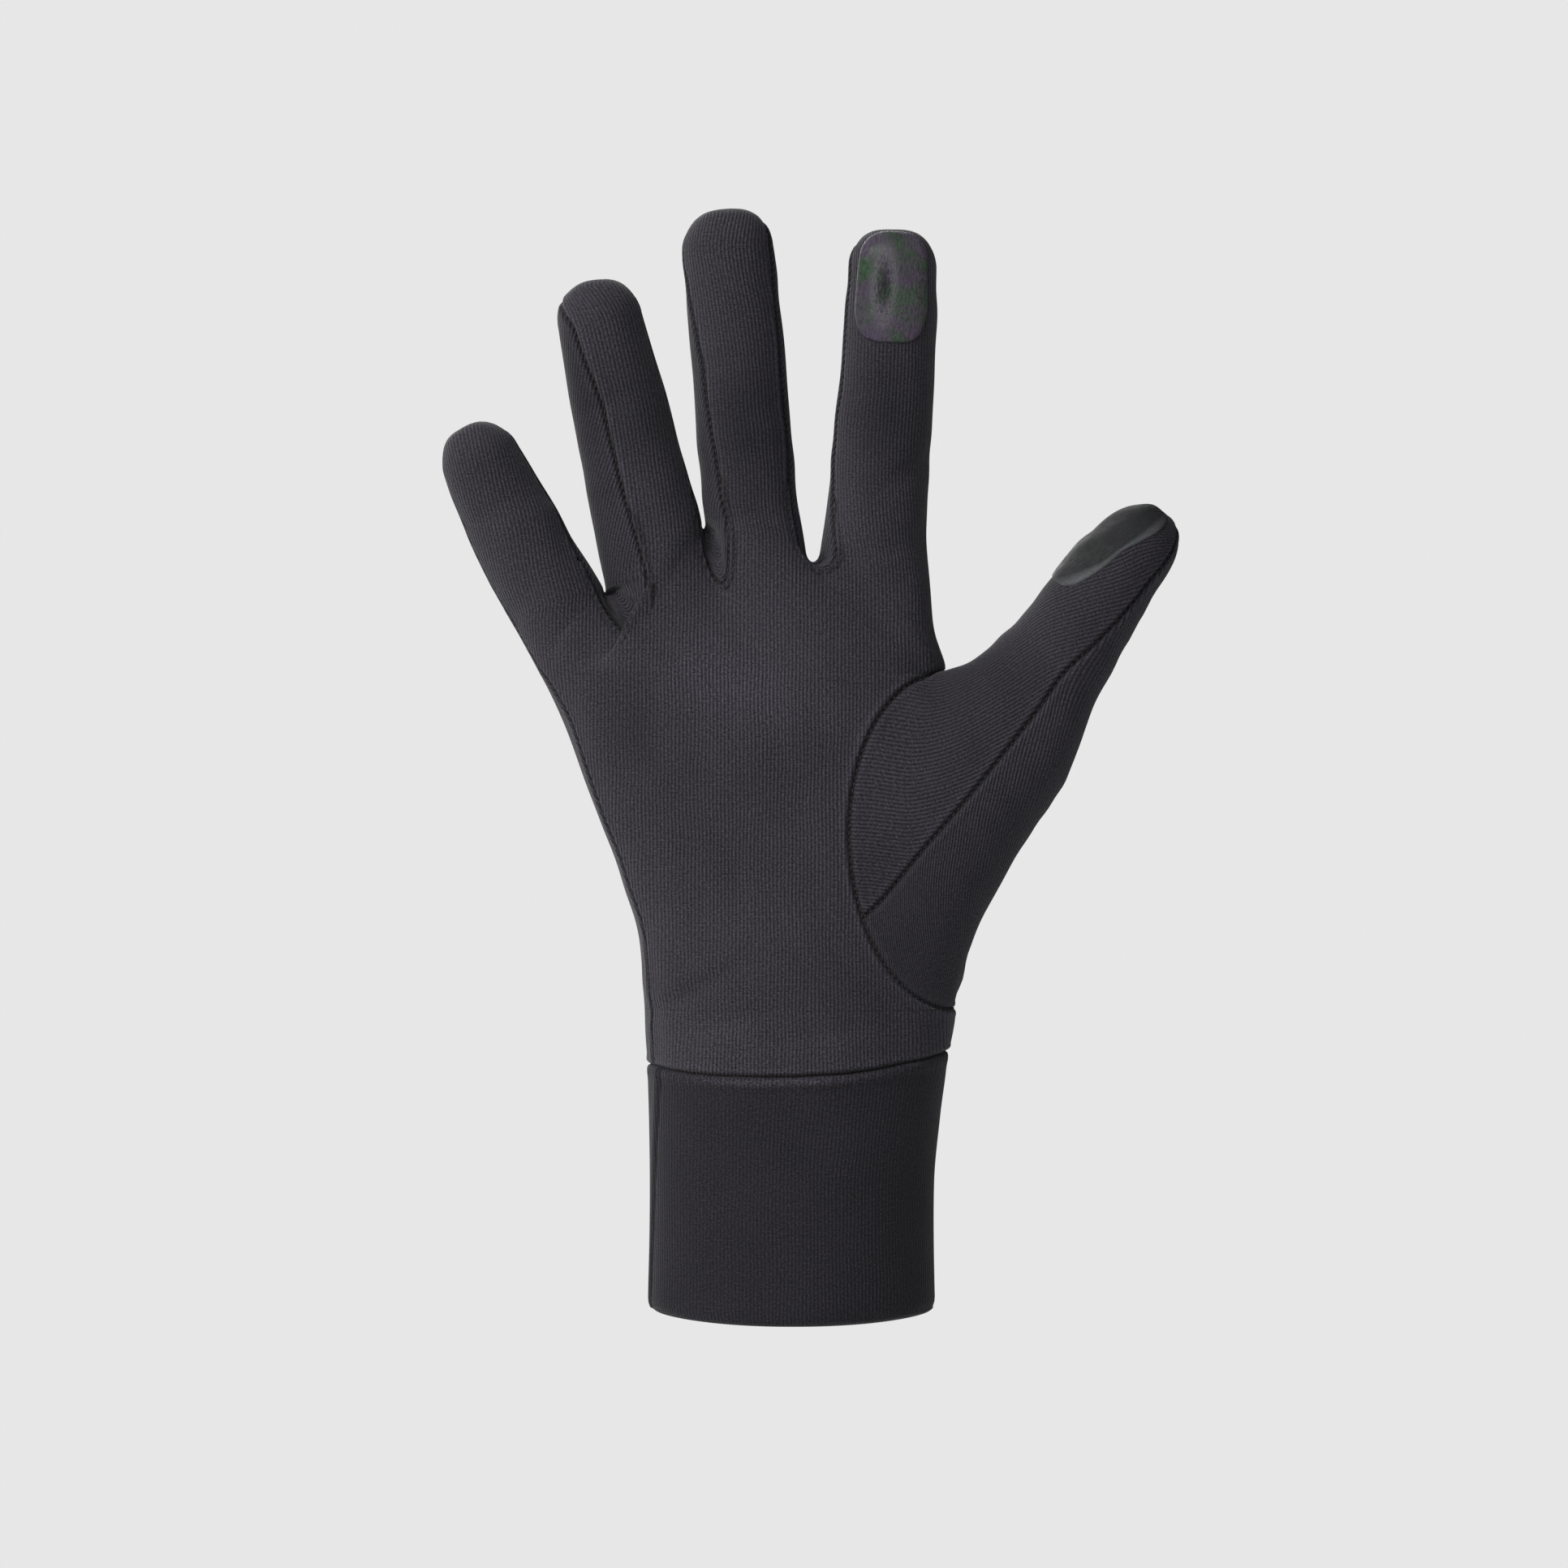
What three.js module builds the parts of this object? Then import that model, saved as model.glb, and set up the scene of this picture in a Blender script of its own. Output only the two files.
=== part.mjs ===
// A thin knit running glove for the right hand, in the form that it has when worn.
// Millimetres, +Z up along the fingers, the palm faces -Y and the thumb points to +X.
// The origin is the centre of the cuff opening, where the hand goes in.
import * as THREE from "three";

// Driving sizes
const cuffHeight = 56.4; // hem to wrist seam, at the sides
const cuffWidth = 61.6; // across the hem
const cuffDepth = 40; // front to back at the hem
const cuffWall = 2.4; // the band is a folded double layer
const wristWidth = 64.5;
const wristDepth = 42;
const palmWidth = 87.2; // across the palm at the thumb crotch
const palmDepth = 29;
const palmHeight = 112; // wrist seam to the root of the middle finger
const thumbLength = 83; // middle of the thumb opening to the thumb tip
const thumbDepth = 21;
const thumbOpening = 72; // height of the hole that the thumb sleeve is sewn into
const gussetWidth = 22; // how far the front seam of the thumb sleeve reaches into the palm
const backGussetWidth = 9;
const littleLength = 42.6;
const ringLength = 59.7;
const middleLength = 69.6;
const indexLength = 70.6;
const littleWidth = 19.6;
const ringWidth = 21;
const middleWidth = 20.3;
const indexWidth = 20.3;
const fingerDepth = 19;
const fingerCurl = 4; // how far the finger tips lean towards the palm side
const clothWall = 1.2;
const seamGap = 0.3; // clearance between two panels that are sewn together
const indexPatchWidth = 14;
const indexPatchLength = 25;
const thumbPatchWidth = 11;
const thumbPatchLength = 23;
const patchThickness = 0.6;

// Smaller fixed shape values
const hemRise = 1.8; // the hem is higher at the sides than at front and back
const wristDip = 3.2; // the wrist seam is lower at front and back than at the sides
const wristSlant = 1.4; // and a little higher on the thumb side
const wristShift = 1.05; // the wrist's centre towards the thumb
const palmLeftShare = 0.624; // part of the palm's width on the little finger's side
const crotchShare = 0.736; // height of the thumb crotch as a share of palmHeight
const outerSeamAngle = -72; // where the seam down the little finger's side lies on the palm
const innerSeamAngle = 97; // where the seam on the index finger's side lies
const thumbTipHeight = 0.155; // height of the thumb's rounded end, a share of thumbLength
const thumbSquareness = 2.15; // of the thumb's rounded end, where 2 is an ellipsoid
const tipRoll = 22; // degrees that the middle of a rounded end is turned towards the back
const tipFlatness = 0.92; // a finger's depth at its tip, as a share of its depth at the root
const rootSlopeReach = 0.35; // part of a finger over which its slanted root evens out
const thumbBaseReach = 0.2; // part of the thumb's rows over which its ends leave the hand
const thumbSeamReach = 0.6; // part of the thumb's rows that the shape of its opening still bends
const cuffRoundness = 2.2;
const cuffHemShare = 0.3; // the rounding of the hem as a share of cuffWall

// How finely the cloth is divided
const fingerColumns = 5;
const webColumns = 4;
const sideColumns = 3;
const tubeRows = 7;
const domeRows = 4;
const fourchetteDomeRows = 2;
const rowsAboveCrotch = 3;
const rowsAtGusset = 12;
const rowsBelowGusset = 2;
const palmRows = rowsAboveCrotch + rowsAtGusset + rowsBelowGusset;
const thumbTubeRows = 9;
const cuffColumns = 44;

const mix = (a, b, share) => a + (b - a) * share;
const radians = (degrees) => (degrees * Math.PI) / 180;
const signedPower = (value, power) => Math.sign(value) * Math.abs(value) ** power;

// A smooth curve through one column of a table: cubic pieces whose slopes come from the rows either side.
function curveOf(rows, column) {
  const keys = rows.map((row) => row.at);
  const values = rows.map((row) => row[column]);
  const slopes = values.map((_, i) => {
    const before = Math.max(i - 1, 0);
    const after = Math.min(i + 1, values.length - 1);
    return (values[after] - values[before]) / (keys[after] - keys[before]);
  });
  return (at) => {
    let i = 0;
    while (i < keys.length - 2 && at > keys[i + 1]) i += 1;
    const span = keys[i + 1] - keys[i];
    const t = (at - keys[i]) / span;
    const rest = 1 - t;
    return (
      values[i] * rest * rest * (1 + 2 * t) +
      values[i + 1] * t * t * (3 - 2 * t) +
      (slopes[i] * rest - slopes[i + 1] * t) * t * rest * span
    );
  };
}

// Every round section runs through the same angles: 0 faces the palm side, 90 the thumb side, 180 the back.
// A roundness of 2 is an ellipse, and a higher one is squarer.
function sectionShare(angle, roundness) {
  return [
    signedPower(Math.sin(radians(angle)), 2 / roundness),
    signedPower(Math.cos(radians(angle)), 2 / roundness),
  ];
}

// The hand below the fingers. Columns: at is the share of palmHeight above the wrist seam, leftSpread runs from
// the wrist's edge (0) to the palm's edge (1), rightBow is a share of palmWidth, and depth runs from wristDepth (0)
// to palmDepth (1).
const palmTable = [
  { at: 0, leftSpread: 0, rightBow: 0, depth: 0, roundness: 2.2 },
  { at: 0.09, leftSpread: 0.03, rightBow: 0.019, depth: 0.15, roundness: 2.2 },
  { at: 0.19, leftSpread: 0.06, rightBow: 0.033, depth: 0.35, roundness: 2.25 },
  { at: 0.25, leftSpread: 0.1, rightBow: 0.039, depth: 0.45, roundness: 2.3 },
  { at: 0.33, leftSpread: 0.225, rightBow: 0.044, depth: 0.58, roundness: 2.35 },
  { at: 0.41, leftSpread: 0.36, rightBow: 0.047, depth: 0.7, roundness: 2.4 },
  { at: 0.49, leftSpread: 0.51, rightBow: 0.044, depth: 0.8, roundness: 2.45 },
  { at: 0.59, leftSpread: 0.69, rightBow: 0.033, depth: 0.9, roundness: 2.5 },
  { at: 0.69, leftSpread: 0.88, rightBow: 0.015, depth: 0.97, roundness: 2.6 },
  { at: 0.79, leftSpread: 1.13, rightBow: -0.016, depth: 1.05, roundness: 2.7 },
  { at: 0.89, leftSpread: 1.4, rightBow: -0.04, depth: 1.2, roundness: 2.8 },
  { at: 1, leftSpread: 1.65, rightBow: -0.048, depth: 1.4, roundness: 2.8 },
];
const palmCurves = {
  leftSpread: curveOf(palmTable, "leftSpread"),
  rightBow: curveOf(palmTable, "rightBow"),
  depth: curveOf(palmTable, "depth"),
  roundness: curveOf(palmTable, "roundness"),
};

// Left edge, right edge, half depth and roundness of the hand at a height above the wrist seam.
function palmSection(height) {
  const at = height / palmHeight;
  const spread = palmCurves.leftSpread(at);
  const left = mix(wristShift - wristWidth / 2, -palmLeftShare * palmWidth, spread);
  const rightBase = mix(wristShift + wristWidth / 2, (1 - palmLeftShare) * palmWidth, Math.min(at / crotchShare, 1));
  const right = rightBase + palmCurves.rightBow(at) * palmWidth;
  return {
    centre: (left + right) / 2,
    half: (right - left) / 2,
    depth: mix(wristDepth, palmDepth, palmCurves.depth(at)) / 2,
    roundness: palmCurves.roundness(at),
  };
}

function palmPoint(angle, height) {
  const section = palmSection(height);
  const [across, front] = sectionShare(angle, section.roundness);
  return new THREE.Vector3(
    section.centre + section.half * across,
    -section.depth * front,
    cuffHeight + height,
  );
}

// The angle on the palm or on the back of a point that is seen at x.
function palmAngle(x, height, isBack) {
  const section = palmSection(height);
  const share = THREE.MathUtils.clamp((x - section.centre) / section.half, -0.9995, 0.9995);
  const angle = THREE.MathUtils.radToDeg(Math.asin(signedPower(share, section.roundness / 2)));
  return isBack ? 180 - angle : angle;
}

// Height of the wrist seam above cuffHeight: it dips at front and back and slants a little.
function wristSeam(angle) {
  const [across] = sectionShare(angle, 2);
  return wristSlant * across - wristDip * Math.cos(radians(angle)) ** 2;
}

// The fingers. Root and lean place the axis, rows hold the side edges as shares of the finger's width, and each seam
// lists the angle of a panel's edge along the finger. A side with a fourchette has two seams, an outer side has one.
const shareStops = [0, 0.2, 0.4, 0.6, 0.85];
const seam = (...angles) => curveOf(angles.map((angle, i) => ({ at: shareStops[i], angle })), "angle");
const fingers = {
  little: {
    length: littleLength,
    width: littleWidth,
    depth: fingerDepth * 0.92,
    rootAcross: -0.581,
    rootUp: 0.87,
    lean: -24.7,
    rootSlope: -0.07,
    tubeShare: 0.79,
    squareness: 2.05,
    rows: [
      { at: 0, left: -0.53, right: 0.53 },
      { at: 0.1, left: -0.553, right: 0.495 },
      { at: 0.25, left: -0.582, right: 0.458 },
      { at: 0.45, left: -0.577, right: 0.42 },
      { at: 0.65, left: -0.558, right: 0.372 },
      { at: 0.79, left: -0.53, right: 0.33 },
    ],
    frontLeft: seam(-80, -80, -80, -82, -84),
    backLeft: seam(280, 280, 280, 278, 276),
    frontRight: seam(58, 68, 78, 82, 84),
    backRight: seam(137, 128, 122, 118, 112),
  },
  ring: {
    length: ringLength,
    width: ringWidth,
    depth: fingerDepth,
    rootAcross: -0.343,
    rootUp: 0.965,
    lean: -11.2,
    rootSlope: 0.425,
    tubeShare: 0.84,
    squareness: 2.25,
    rows: [
      { at: 0, left: -0.543, right: 0.543 },
      { at: 0.1, left: -0.547, right: 0.535 },
      { at: 0.25, left: -0.544, right: 0.49 },
      { at: 0.45, left: -0.537, right: 0.452 },
      { at: 0.65, left: -0.535, right: 0.408 },
      { at: 0.84, left: -0.508, right: 0.355 },
    ],
    frontLeft: seam(-12, -16, -18, -21, -38),
    backLeft: seam(238, 238, 240, 243, 250),
    frontRight: seam(70, 80, 84, 84, 84),
    backRight: seam(125, 122, 120, 116, 110),
  },
  middle: {
    length: middleLength,
    width: middleWidth,
    depth: fingerDepth * 1.02,
    rootAcross: -0.092,
    rootUp: 1.004,
    lean: -4.9,
    rootSlope: -0.34,
    tubeShare: 0.87,
    squareness: 2.15,
    rows: [
      { at: 0, left: -0.51, right: 0.51 },
      { at: 0.1, left: -0.527, right: 0.47 },
      { at: 0.5, left: -0.527, right: 0.473 },
      { at: 0.75, left: -0.516, right: 0.46 },
      { at: 0.87, left: -0.503, right: 0.448 },
    ],
    frontLeft: seam(-35, -37, -45, -52, -78),
    backLeft: seam(235, 236, 240, 244, 255),
    frontRight: seam(56, 60, 60, 60, 63),
    backRight: seam(125, 122, 120, 118, 112),
  },
  index: {
    length: indexLength,
    width: indexWidth,
    depth: fingerDepth,
    rootAcross: 0.2,
    rootUp: 0.955,
    lean: 3,
    rootSlope: -0.197,
    tubeShare: 0.87,
    squareness: 2.3,
    rows: [
      { at: 0, left: -0.57, right: 0.57 },
      { at: 0.1, left: -0.53, right: 0.53 },
      { at: 0.3, left: -0.511, right: 0.53 },
      { at: 0.5, left: -0.47, right: 0.528 },
      { at: 0.62, left: -0.456, right: 0.527 },
      { at: 0.75, left: -0.45, right: 0.516 },
      { at: 0.87, left: -0.428, right: 0.493 },
    ],
    frontLeft: seam(-44, -64, -68, -68, -70),
    backLeft: seam(235, 238, 240, 243, 250),
    frontRight: seam(97, 97, 97, 97, 96),
    backRight: seam(97, 97, 97, 97, 96),
  },
};
for (const finger of Object.values(fingers)) {
  finger.left = curveOf(finger.rows, "left");
  finger.right = curveOf(finger.rows, "right");
  finger.along = new THREE.Vector3(Math.sin(radians(finger.lean)), 0, Math.cos(radians(finger.lean)));
  finger.across = new THREE.Vector3(finger.along.z, 0, -finger.along.x);
  finger.root = new THREE.Vector3(
    finger.rootAcross * palmWidth,
    0,
    cuffHeight + finger.rootUp * palmHeight,
  );
}

// A point on the rounded end of a sleeve: a unit sphere turned towards the back so that the seam over the tip lies
// behind its crest, made squarer, and stretched to the sleeve's half width, half depth and end height.
function domeShares(angle, lift, squareness, roll) {
  const rise = radians(lift);
  const turn = radians(roll) * (lift / 90) ** 2;
  const across = Math.cos(rise) * Math.sin(radians(angle));
  const front = Math.cos(rise) * Math.cos(radians(angle));
  const up = Math.sin(rise);
  const rolledFront = front * Math.cos(turn) - up * Math.sin(turn);
  const rolledUp = up * Math.cos(turn) + front * Math.sin(turn);
  const size =
    (Math.abs(across) ** squareness + Math.abs(rolledFront) ** squareness + Math.abs(rolledUp) ** squareness) **
    (1 / squareness);
  return [across / size, rolledFront / size, rolledUp / size];
}

// A finger's row is tube up to tubeShare of its length and rounded end beyond it. Row 0 is the root.
const fingerRows = tubeRows + domeRows;
function fingerRow(finger, row) {
  const inTube = Math.min(row / tubeRows, 1);
  const at = inTube * finger.tubeShare;
  const lift = row > tubeRows ? ((row - tubeRows) / domeRows) * 90 : 0;
  return { at, lift };
}

function fingerPoint(finger, row, angle) {
  const { at, lift } = fingerRow(finger, row);
  const left = finger.left(at) * finger.width;
  const right = finger.right(at) * finger.width;
  const centre = (left + right) / 2;
  const half = (right - left) / 2;
  const tipHeight = (1 - finger.tubeShare) * finger.length;
  const [across, front, up] = domeShares(angle, lift, finger.squareness, finger.roll ?? tipRoll);
  const slope = finger.rootSlope * Math.max(1 - at / rootSlopeReach, 0) ** 2;
  const offset = centre + half * across;
  const along = at * finger.length + slope * half * across + tipHeight * up;
  const reach = along / finger.length;
  const curl = fingerCurl * reach * Math.abs(reach);
  const forward = curl + (finger.depth / 2) * front * mix(1, tipFlatness, at);
  return finger.root
    .clone()
    .addScaledVector(finger.along, along)
    .addScaledVector(finger.across, offset)
    .add(new THREE.Vector3(0, -forward, 0));
}

// The angle of a panel's edge at a row. On the rounded end the two seams of a fourchette run together and go over
// the tip as one.
function edgeAngle(finger, edge, row) {
  const { at, lift } = fingerRow(finger, row);
  const angle = finger[edge](at);
  const meet = { frontLeft: -90, frontRight: 90, backRight: 90, backLeft: 270 }[edge];
  const meetLift = (fourchetteDomeRows / domeRows) * 90;
  return mix(angle, meet, Math.min(lift / meetLift, 1) ** 1.5);
}

// The webs between the fingers. A web hangs in a U from one finger's side to the next. Its front and back edges are
// lower than its middle. Drops, shift and out are millimetres below, beside and away from the fingers' roots, and a
// start above 1 straightens the first finger's side of the U.
const webs = [
  {
    name: "little_ring", from: "little", to: "ring",
    frontDrop: 13.4, middleDrop: 1.6, backDrop: 6, shift: 3.1, out: 2.5, start: 1.6,
  },
  {
    name: "ring_middle", from: "ring", to: "middle",
    frontDrop: 11.7, middleDrop: 1.7, backDrop: 6, shift: 1.4, out: 2.5, start: 1,
  },
  {
    name: "middle_index", from: "middle", to: "index",
    frontDrop: 4.5, middleDrop: 3.3, backDrop: 6, shift: 0.6, out: 1.5, start: 1.2,
  },
];

// A web point: turn runs from 0 at the first finger to 1 at the next, side from 0 at the front seam to 1 at the back.
function webPoint(web, turn, side) {
  const a = fingers[web.from];
  const b = fingers[web.to];
  const start = fingerPoint(a, 0, mix(a.frontRight(0), a.backRight(0), side));
  const end = fingerPoint(b, 0, mix(b.frontLeft(0), b.backLeft(0) - 360, side));
  const edge = side < 0.5 ? web.frontDrop : web.backDrop;
  const lean = 2 * side - 1;
  const hang = Math.sin(Math.PI * turn) ** (turn < 0.5 ? web.start : 1);
  const point = start.clone().add(end).multiplyScalar(0.5);
  point.addScaledVector(start.sub(end), 0.5 * Math.cos(Math.PI * turn));
  point.x += web.shift * hang * Math.max(-lean, 0);
  point.y += web.out * hang * lean * Math.abs(lean);
  point.z -= mix(web.middleDrop, edge, lean ** 2) * hang;
  return point;
}

// The knuckle row: the upper edge of the palm or back, through the finger roots and round the webs.
const fingerOrder = ["little", "ring", "middle", "index"];
function knuckleRow(isBack) {
  const points = [];
  fingerOrder.forEach((name, i) => {
    const finger = fingers[name];
    const left = isBack ? finger.backLeft(0) : finger.frontLeft(0);
    const right = isBack ? finger.backRight(0) : finger.frontRight(0);
    for (let column = 0; column <= fingerColumns; column += 1) {
      points.push(fingerPoint(finger, 0, mix(left, right, column / fingerColumns)));
    }
    const web = webs[i];
    if (!web) return;
    for (let step = 1; step < webColumns; step += 1) {
      points.push(webPoint(web, step / webColumns, isBack ? 1 : 0));
    }
  });
  return points;
}

// The seam that the thumb sleeve is sewn into: half an ellipse on the palm and a flatter one on the back.
// Turn runs from 0 at the thumb crotch to 1 at its foot near the wrist, in steps that are shorter at both ends.
const crotchHeight = crotchShare * palmHeight;
const gussetTurn = (step) => {
  const even = step / rowsAtGusset;
  return mix(even, (1 - Math.cos(Math.PI * even)) / 2, 0.2);
};
function gussetSpot(turn, isBack) {
  const height = crotchHeight - (thumbOpening * (1 - Math.cos(Math.PI * turn))) / 2;
  const chordTop = palmSection(crotchHeight);
  const chordFoot = palmSection(crotchHeight - thumbOpening);
  const chord = mix(
    chordTop.centre + chordTop.half,
    chordFoot.centre + chordFoot.half,
    (1 - Math.cos(Math.PI * turn)) / 2,
  );
  const reach = isBack ? backGussetWidth : gussetWidth;
  const x = chord - reach * Math.sin(Math.PI * turn);
  const isEnd = turn === 0 || turn === 1;
  const angle = isEnd ? 90 : palmAngle(x, height, isBack);
  return { angle, height };
}

function gussetPoint(turn, isBack) {
  const spot = gussetSpot(turn, isBack);
  return palmPoint(spot.angle, spot.height);
}

// Angle and height of the side seams at each row of the palm grid, from the knuckles down to the wrist.
function leftEdge(row, top) {
  const share = row / palmRows;
  const angle = mix(top.angle, outerSeamAngle, Math.min(share * 2, 1));
  return { angle, height: mix(top.height, wristSeam(outerSeamAngle), share) };
}

function rightEdge(row, top, isBack) {
  if (row <= rowsAboveCrotch) {
    const share = row / rowsAboveCrotch;
    return { angle: mix(top.angle, 90, share), height: mix(top.height, crotchHeight, share) };
  }
  if (row <= rowsAboveCrotch + rowsAtGusset) {
    return gussetSpot(gussetTurn(row - rowsAboveCrotch), isBack);
  }
  const share = (row - rowsAboveCrotch - rowsAtGusset) / rowsBelowGusset;
  return {
    angle: mix(90, innerSeamAngle, share),
    height: mix(crotchHeight - thumbOpening, wristSeam(innerSeamAngle), share),
  };
}

// The grid of the palm or the back. Its upper row is the knuckle row exactly, and the rows below turn step by step
// into plain sections of the hand. The wave of the knuckle row fades out downwards without moving a point sideways.
// Columns that run into the thumb's seam end on it.
const seamSnap = 2.5; // degrees
function palmGrid(isBack) {
  const top = knuckleRow(isBack);
  const columns = top.length - 1;
  const shift = isBack ? 360 : 0;
  const angleOf = (point, height) => {
    const angle = palmAngle(point.x, height, point.y > 0);
    return angle < 0 ? angle + shift : angle;
  };
  const heights = top.map((point) => point.z - cuffHeight);
  const width = top[columns].x - top[0].x;
  const levels = top.map((point) => (point.x - top[0].x) / width);
  const lines = levels.map((level) => mix(heights[0], heights[columns], 1 - (1 - level) ** 3));
  const angles = top.map((point, column) => angleOf(point, lines[column]));
  const first = { angle: angles[0] - shift, height: heights[0] };
  const last = { angle: angles[columns], height: heights[columns] };
  const fadeOf = (row) => Math.max(1 - row / (rowsAboveCrotch + 2), 0) ** 2;
  const plainPoint = (row, column) => {
    const share = row / palmRows;
    const left = leftEdge(row, first);
    const right = rightEdge(row, last, isBack);
    left.angle += shift;
    const topShare = (angles[column] - angles[0]) / (angles[columns] - angles[0]);
    const across = mix(topShare, column / columns, share);
    const free = mix(left.angle, mix(last.angle, innerSeamAngle, share), across);
    const isPast = isBack ? free < right.angle + seamSnap : free > right.angle - seamSnap;
    const angle = isPast || column === columns ? right.angle : free;
    const [side, leftSide, rightSide] = [angle, left.angle, right.angle].map((value) => Math.sin(radians(value)));
    const level = 1 - (1 - (side - leftSide) / (rightSide - leftSide)) ** 3;
    const low = wristSeam(angle) - mix(wristSeam(left.angle), wristSeam(right.angle), level);
    const line = mix(left.height, right.height, level) + low * share ** 3;
    const height = line + (heights[column] - lines[column]) * fadeOf(row);
    const x = palmPoint(angle, line).x;
    const isBehind = Math.cos(radians(angle)) < 0;
    return palmPoint(height === line ? angle : palmAngle(x, height, isBehind), height);
  };
  return gridOf(palmRows, columns, (row, column) => {
    const correction = top[column].clone().sub(plainPoint(0, column));
    return plainPoint(row, column).addScaledVector(correction, fadeOf(row));
  });
}

// The thumb sleeve. Columns: at is the share of the sleeve's rows, inner and outer are the side points as shares of
// thumbLength from the middle of the opening, depth is a share of thumbDepth, and forward is a share of thumbLength.
const thumbTable = [
  { at: 0, innerX: -0.01, innerZ: 0.434, outerX: 0.008, outerZ: -0.434, depth: 1.4, forward: 0 },
  { at: 0.2, innerX: 0.073, innerZ: 0.463, outerX: 0.07, outerZ: -0.225, depth: 1.36, forward: 0.02 },
  { at: 0.4, innerX: 0.13, innerZ: 0.525, outerX: 0.198, outerZ: 0.02, depth: 1.26, forward: 0.045 },
  { at: 0.5, innerX: 0.169, innerZ: 0.558, outerX: 0.269, outerZ: 0.117, depth: 1.2, forward: 0.055 },
  { at: 0.6, innerX: 0.206, innerZ: 0.6, outerX: 0.311, outerZ: 0.19, depth: 1.12, forward: 0.065 },
  { at: 0.8, innerX: 0.284, innerZ: 0.699, outerX: 0.393, outerZ: 0.393, depth: 1, forward: 0.085 },
  { at: 0.9, innerX: 0.327, innerZ: 0.752, outerX: 0.458, outerZ: 0.512, depth: 0.95, forward: 0.095 },
  { at: 1, innerX: 0.367, innerZ: 0.795, outerX: 0.534, outerZ: 0.648, depth: 0.88, forward: 0.105 },
];
const thumbCurves = Object.fromEntries(
  Object.keys(thumbTable[0]).map((column) => [column, curveOf(thumbTable, column)]),
);
// The angle of the one seam of the thumb sleeve, from the gusset to the tip.
const thumbSeamTable = [
  { at: 0, angle: 24.5 },
  { at: 0.3, angle: 10 },
  { at: 0.6, angle: -1 },
  { at: 0.8, angle: 18 },
  { at: 0.9, angle: 30 },
  { at: 1, angle: 42 },
  { at: 1.5, angle: 60 },
];
const thumbSeam = curveOf(thumbSeamTable, "angle");
const thumbRows = thumbTubeRows + domeRows;

// Round the sleeve, angle -90 is the inner side towards the index finger, 0 the palm side and 90 the outer side.
function thumbSectionPoint(at, lift, angle) {
  const top = gussetPoint(0, false);
  const foot = gussetPoint(1, false);
  const middle = top.clone().add(foot).multiplyScalar(0.5);
  const grown = Math.min(at / thumbBaseReach, 1);
  const inner = new THREE.Vector3(thumbCurves.innerX(at), 0, thumbCurves.innerZ(at)).multiplyScalar(thumbLength);
  const outer = new THREE.Vector3(thumbCurves.outerX(at), 0, thumbCurves.outerZ(at)).multiplyScalar(thumbLength);
  inner.add(middle).lerp(top, (1 - grown) ** 2);
  outer.add(middle).lerp(foot, (1 - grown) ** 2);
  const centre = inner.clone().add(outer).multiplyScalar(0.5);
  const halfLine = outer.clone().sub(inner).multiplyScalar(0.5);
  const along = new THREE.Vector3(-halfLine.z, 0, halfLine.x).normalize();
  const [across, front, up] = domeShares(angle, lift, thumbSquareness, tipRoll);
  const depth = (thumbCurves.depth(at) * thumbDepth) / 2;
  return centre
    .addScaledVector(halfLine, across)
    .addScaledVector(along, up * thumbTipHeight * thumbLength)
    .add(new THREE.Vector3(0, -thumbCurves.forward(at) * thumbLength - depth * front, 0));
}

function thumbPoint(row, angle) {
  const at = Math.min(row / thumbTubeRows, 1);
  const lift = row > thumbTubeRows ? ((row - thumbTubeRows) / domeRows) * 90 : 0;
  const point = thumbSectionPoint(at, lift, angle);
  const turned = (((angle + 90) % 360) + 360) % 360;
  const isBack = turned > 180;
  const base = gussetPoint(isBack ? (360 - turned) / 180 : turned / 180, isBack);
  const fade = Math.max(1 - at / thumbSeamReach, 0) ** 2;
  return point.addScaledVector(base.sub(thumbSectionPoint(0, 0, angle)), fade);
}

// Cloth panels are first made as sheets: welded corner points and faces that look outwards.
const spotKey = (point) => `${Math.round(point.x * 500)},${Math.round(point.y * 500)},${Math.round(point.z * 500)}`;

class Sheet {
  constructor() {
    this.points = [];
    this.faces = [];
    this.index = new Map();
  }

  corner(point, mark = "") {
    const key = spotKey(point) + mark;
    if (!this.index.has(key)) {
      this.index.set(key, this.points.length);
      this.points.push(point);
    }
    return this.index.get(key);
  }

  face(...corners) {
    if (new Set(corners).size === 3) this.faces.push(corners);
  }

  // Joins a grid of points with two triangles in each cell. markOf keeps the two sides of a slit apart.
  addGrid(grid, flip = false, markOf = () => "") {
    const ids = grid.map((line, row) => line.map((point, column) => this.corner(point, markOf(row, column))));
    for (let row = 0; row + 1 < ids.length; row += 1) {
      for (let column = 0; column + 1 < ids[row].length; column += 1) {
        const a = ids[row][column];
        const b = ids[row][column + 1];
        const c = ids[row + 1][column + 1];
        const d = ids[row + 1][column];
        if (flip) {
          this.face(a, d, c);
          this.face(a, c, b);
        } else {
          this.face(a, b, c);
          this.face(a, c, d);
        }
      }
    }
  }
}

function gridOf(rows, columns, pointAt) {
  return Array.from({ length: rows + 1 }, (_, row) =>
    Array.from({ length: columns + 1 }, (_, column) => pointAt(row, column)),
  );
}

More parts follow.
